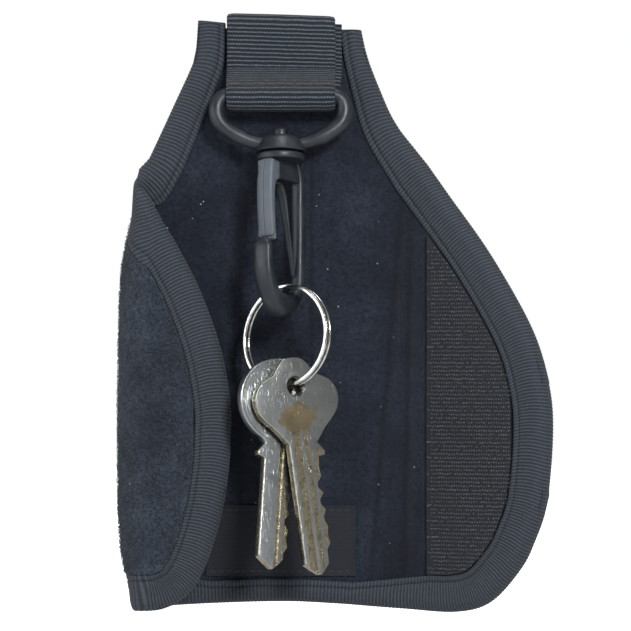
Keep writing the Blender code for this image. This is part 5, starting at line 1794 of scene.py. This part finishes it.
studio = {
    "distance": 1.19, "sensor": 36.0, "frameWidth": 0.1514,
    "centre": (8.3 * mm, -10 * mm, -23.9 * mm),
    "floor": -0.105, "paper": (0.80, 0.80, 0.80), "fill": 0.28, "shine": 0.22,
    "aim": (0.0, 0.0, -0.02), "lampColor": (0.93, 0.97, 1.0),
    "lamps": [("keyLight", (0.32, -0.95, 0.42), 0.22, 9.0),
              ("sheenLight", (-0.9, -0.25, 0.2), 0.35, 1.3),
              ("fillLight", (-0.75, -0.6, 0.1), 0.5, 1.6),
              ("topLight", (0.05, -0.10, 0.9), 0.35, 2.4),
              ("rearLight", (-0.2, 0.8, 0.5), 0.6, 2.0)],
}


def makeStudio():
    camera = bpy.data.cameras.new("camera")
    camera.lens = studio["sensor"] * studio["distance"] / studio["frameWidth"]
    camera.clip_end = 20.0
    seat = bpy.data.objects.new("camera", camera)
    x, y, z = studio["centre"]
    seat.location = (x, y - studio["distance"], z)
    seat.rotation_euler = (math.pi / 2, 0.0, 0.0)
    bpy.context.scene.collection.objects.link(seat)
    bpy.context.scene.camera = seat

    # the paper floor runs into the white world, so that no horizon shows
    paper, tree, shader = blankMaterial("paleFloor", 0.9, specular=0.1)
    shader.inputs["Base Color"].default_value = (*studio["paper"], 1.0)
    shader.inputs["Emission Color"].default_value = (1.0, 1.0, 1.0, 1.0)
    rays = tree.nodes.new("ShaderNodeLightPath")
    tree.links.new(rays.outputs["Is Camera Ray"], shader.inputs["Emission Strength"])
    work = bmesh.new()
    bmesh.ops.create_grid(work, x_segments=1, y_segments=1, size=1.5)
    floor = finishMesh(work, "floor", paper)
    settle(floor, Matrix.Translation((0.0, 0.0, studio["floor"])))

    world = bpy.data.worlds.new("studioWorld")
    bpy.context.scene.world = world
    world.use_nodes = True
    tree = world.node_tree
    sky = tree.nodes["Background"]
    sky.inputs[0].default_value = (1.0, 1.0, 1.0, 1.0)
    rays = tree.nodes.new("ShaderNodeLightPath")
    shine = mathNode(tree, "MULTIPLY", rays.outputs["Is Glossy Ray"], studio["shine"])
    seen = mathNode(tree, "MAXIMUM", rays.outputs["Is Camera Ray"], shine)
    tree.links.new(mathNode(tree, "MAXIMUM", seen, studio["fill"]), sky.inputs[1])

    for name, place, size, power in studio["lamps"]:
        lamp = bpy.data.lights.new(name, "AREA")
        lamp.size = size
        lamp.energy = power
        lamp.color = studio["lampColor"]
        holder = bpy.data.objects.new(name, lamp)
        holder.location = place
        aim = Vector(studio["aim"]) - Vector(place)
        holder.rotation_euler = aim.to_track_quat("-Z", "Y").to_euler()
        bpy.context.scene.collection.objects.link(holder)
    bpy.context.scene.view_settings.view_transform = "Standard"
    print("studio made")


makeStudio()
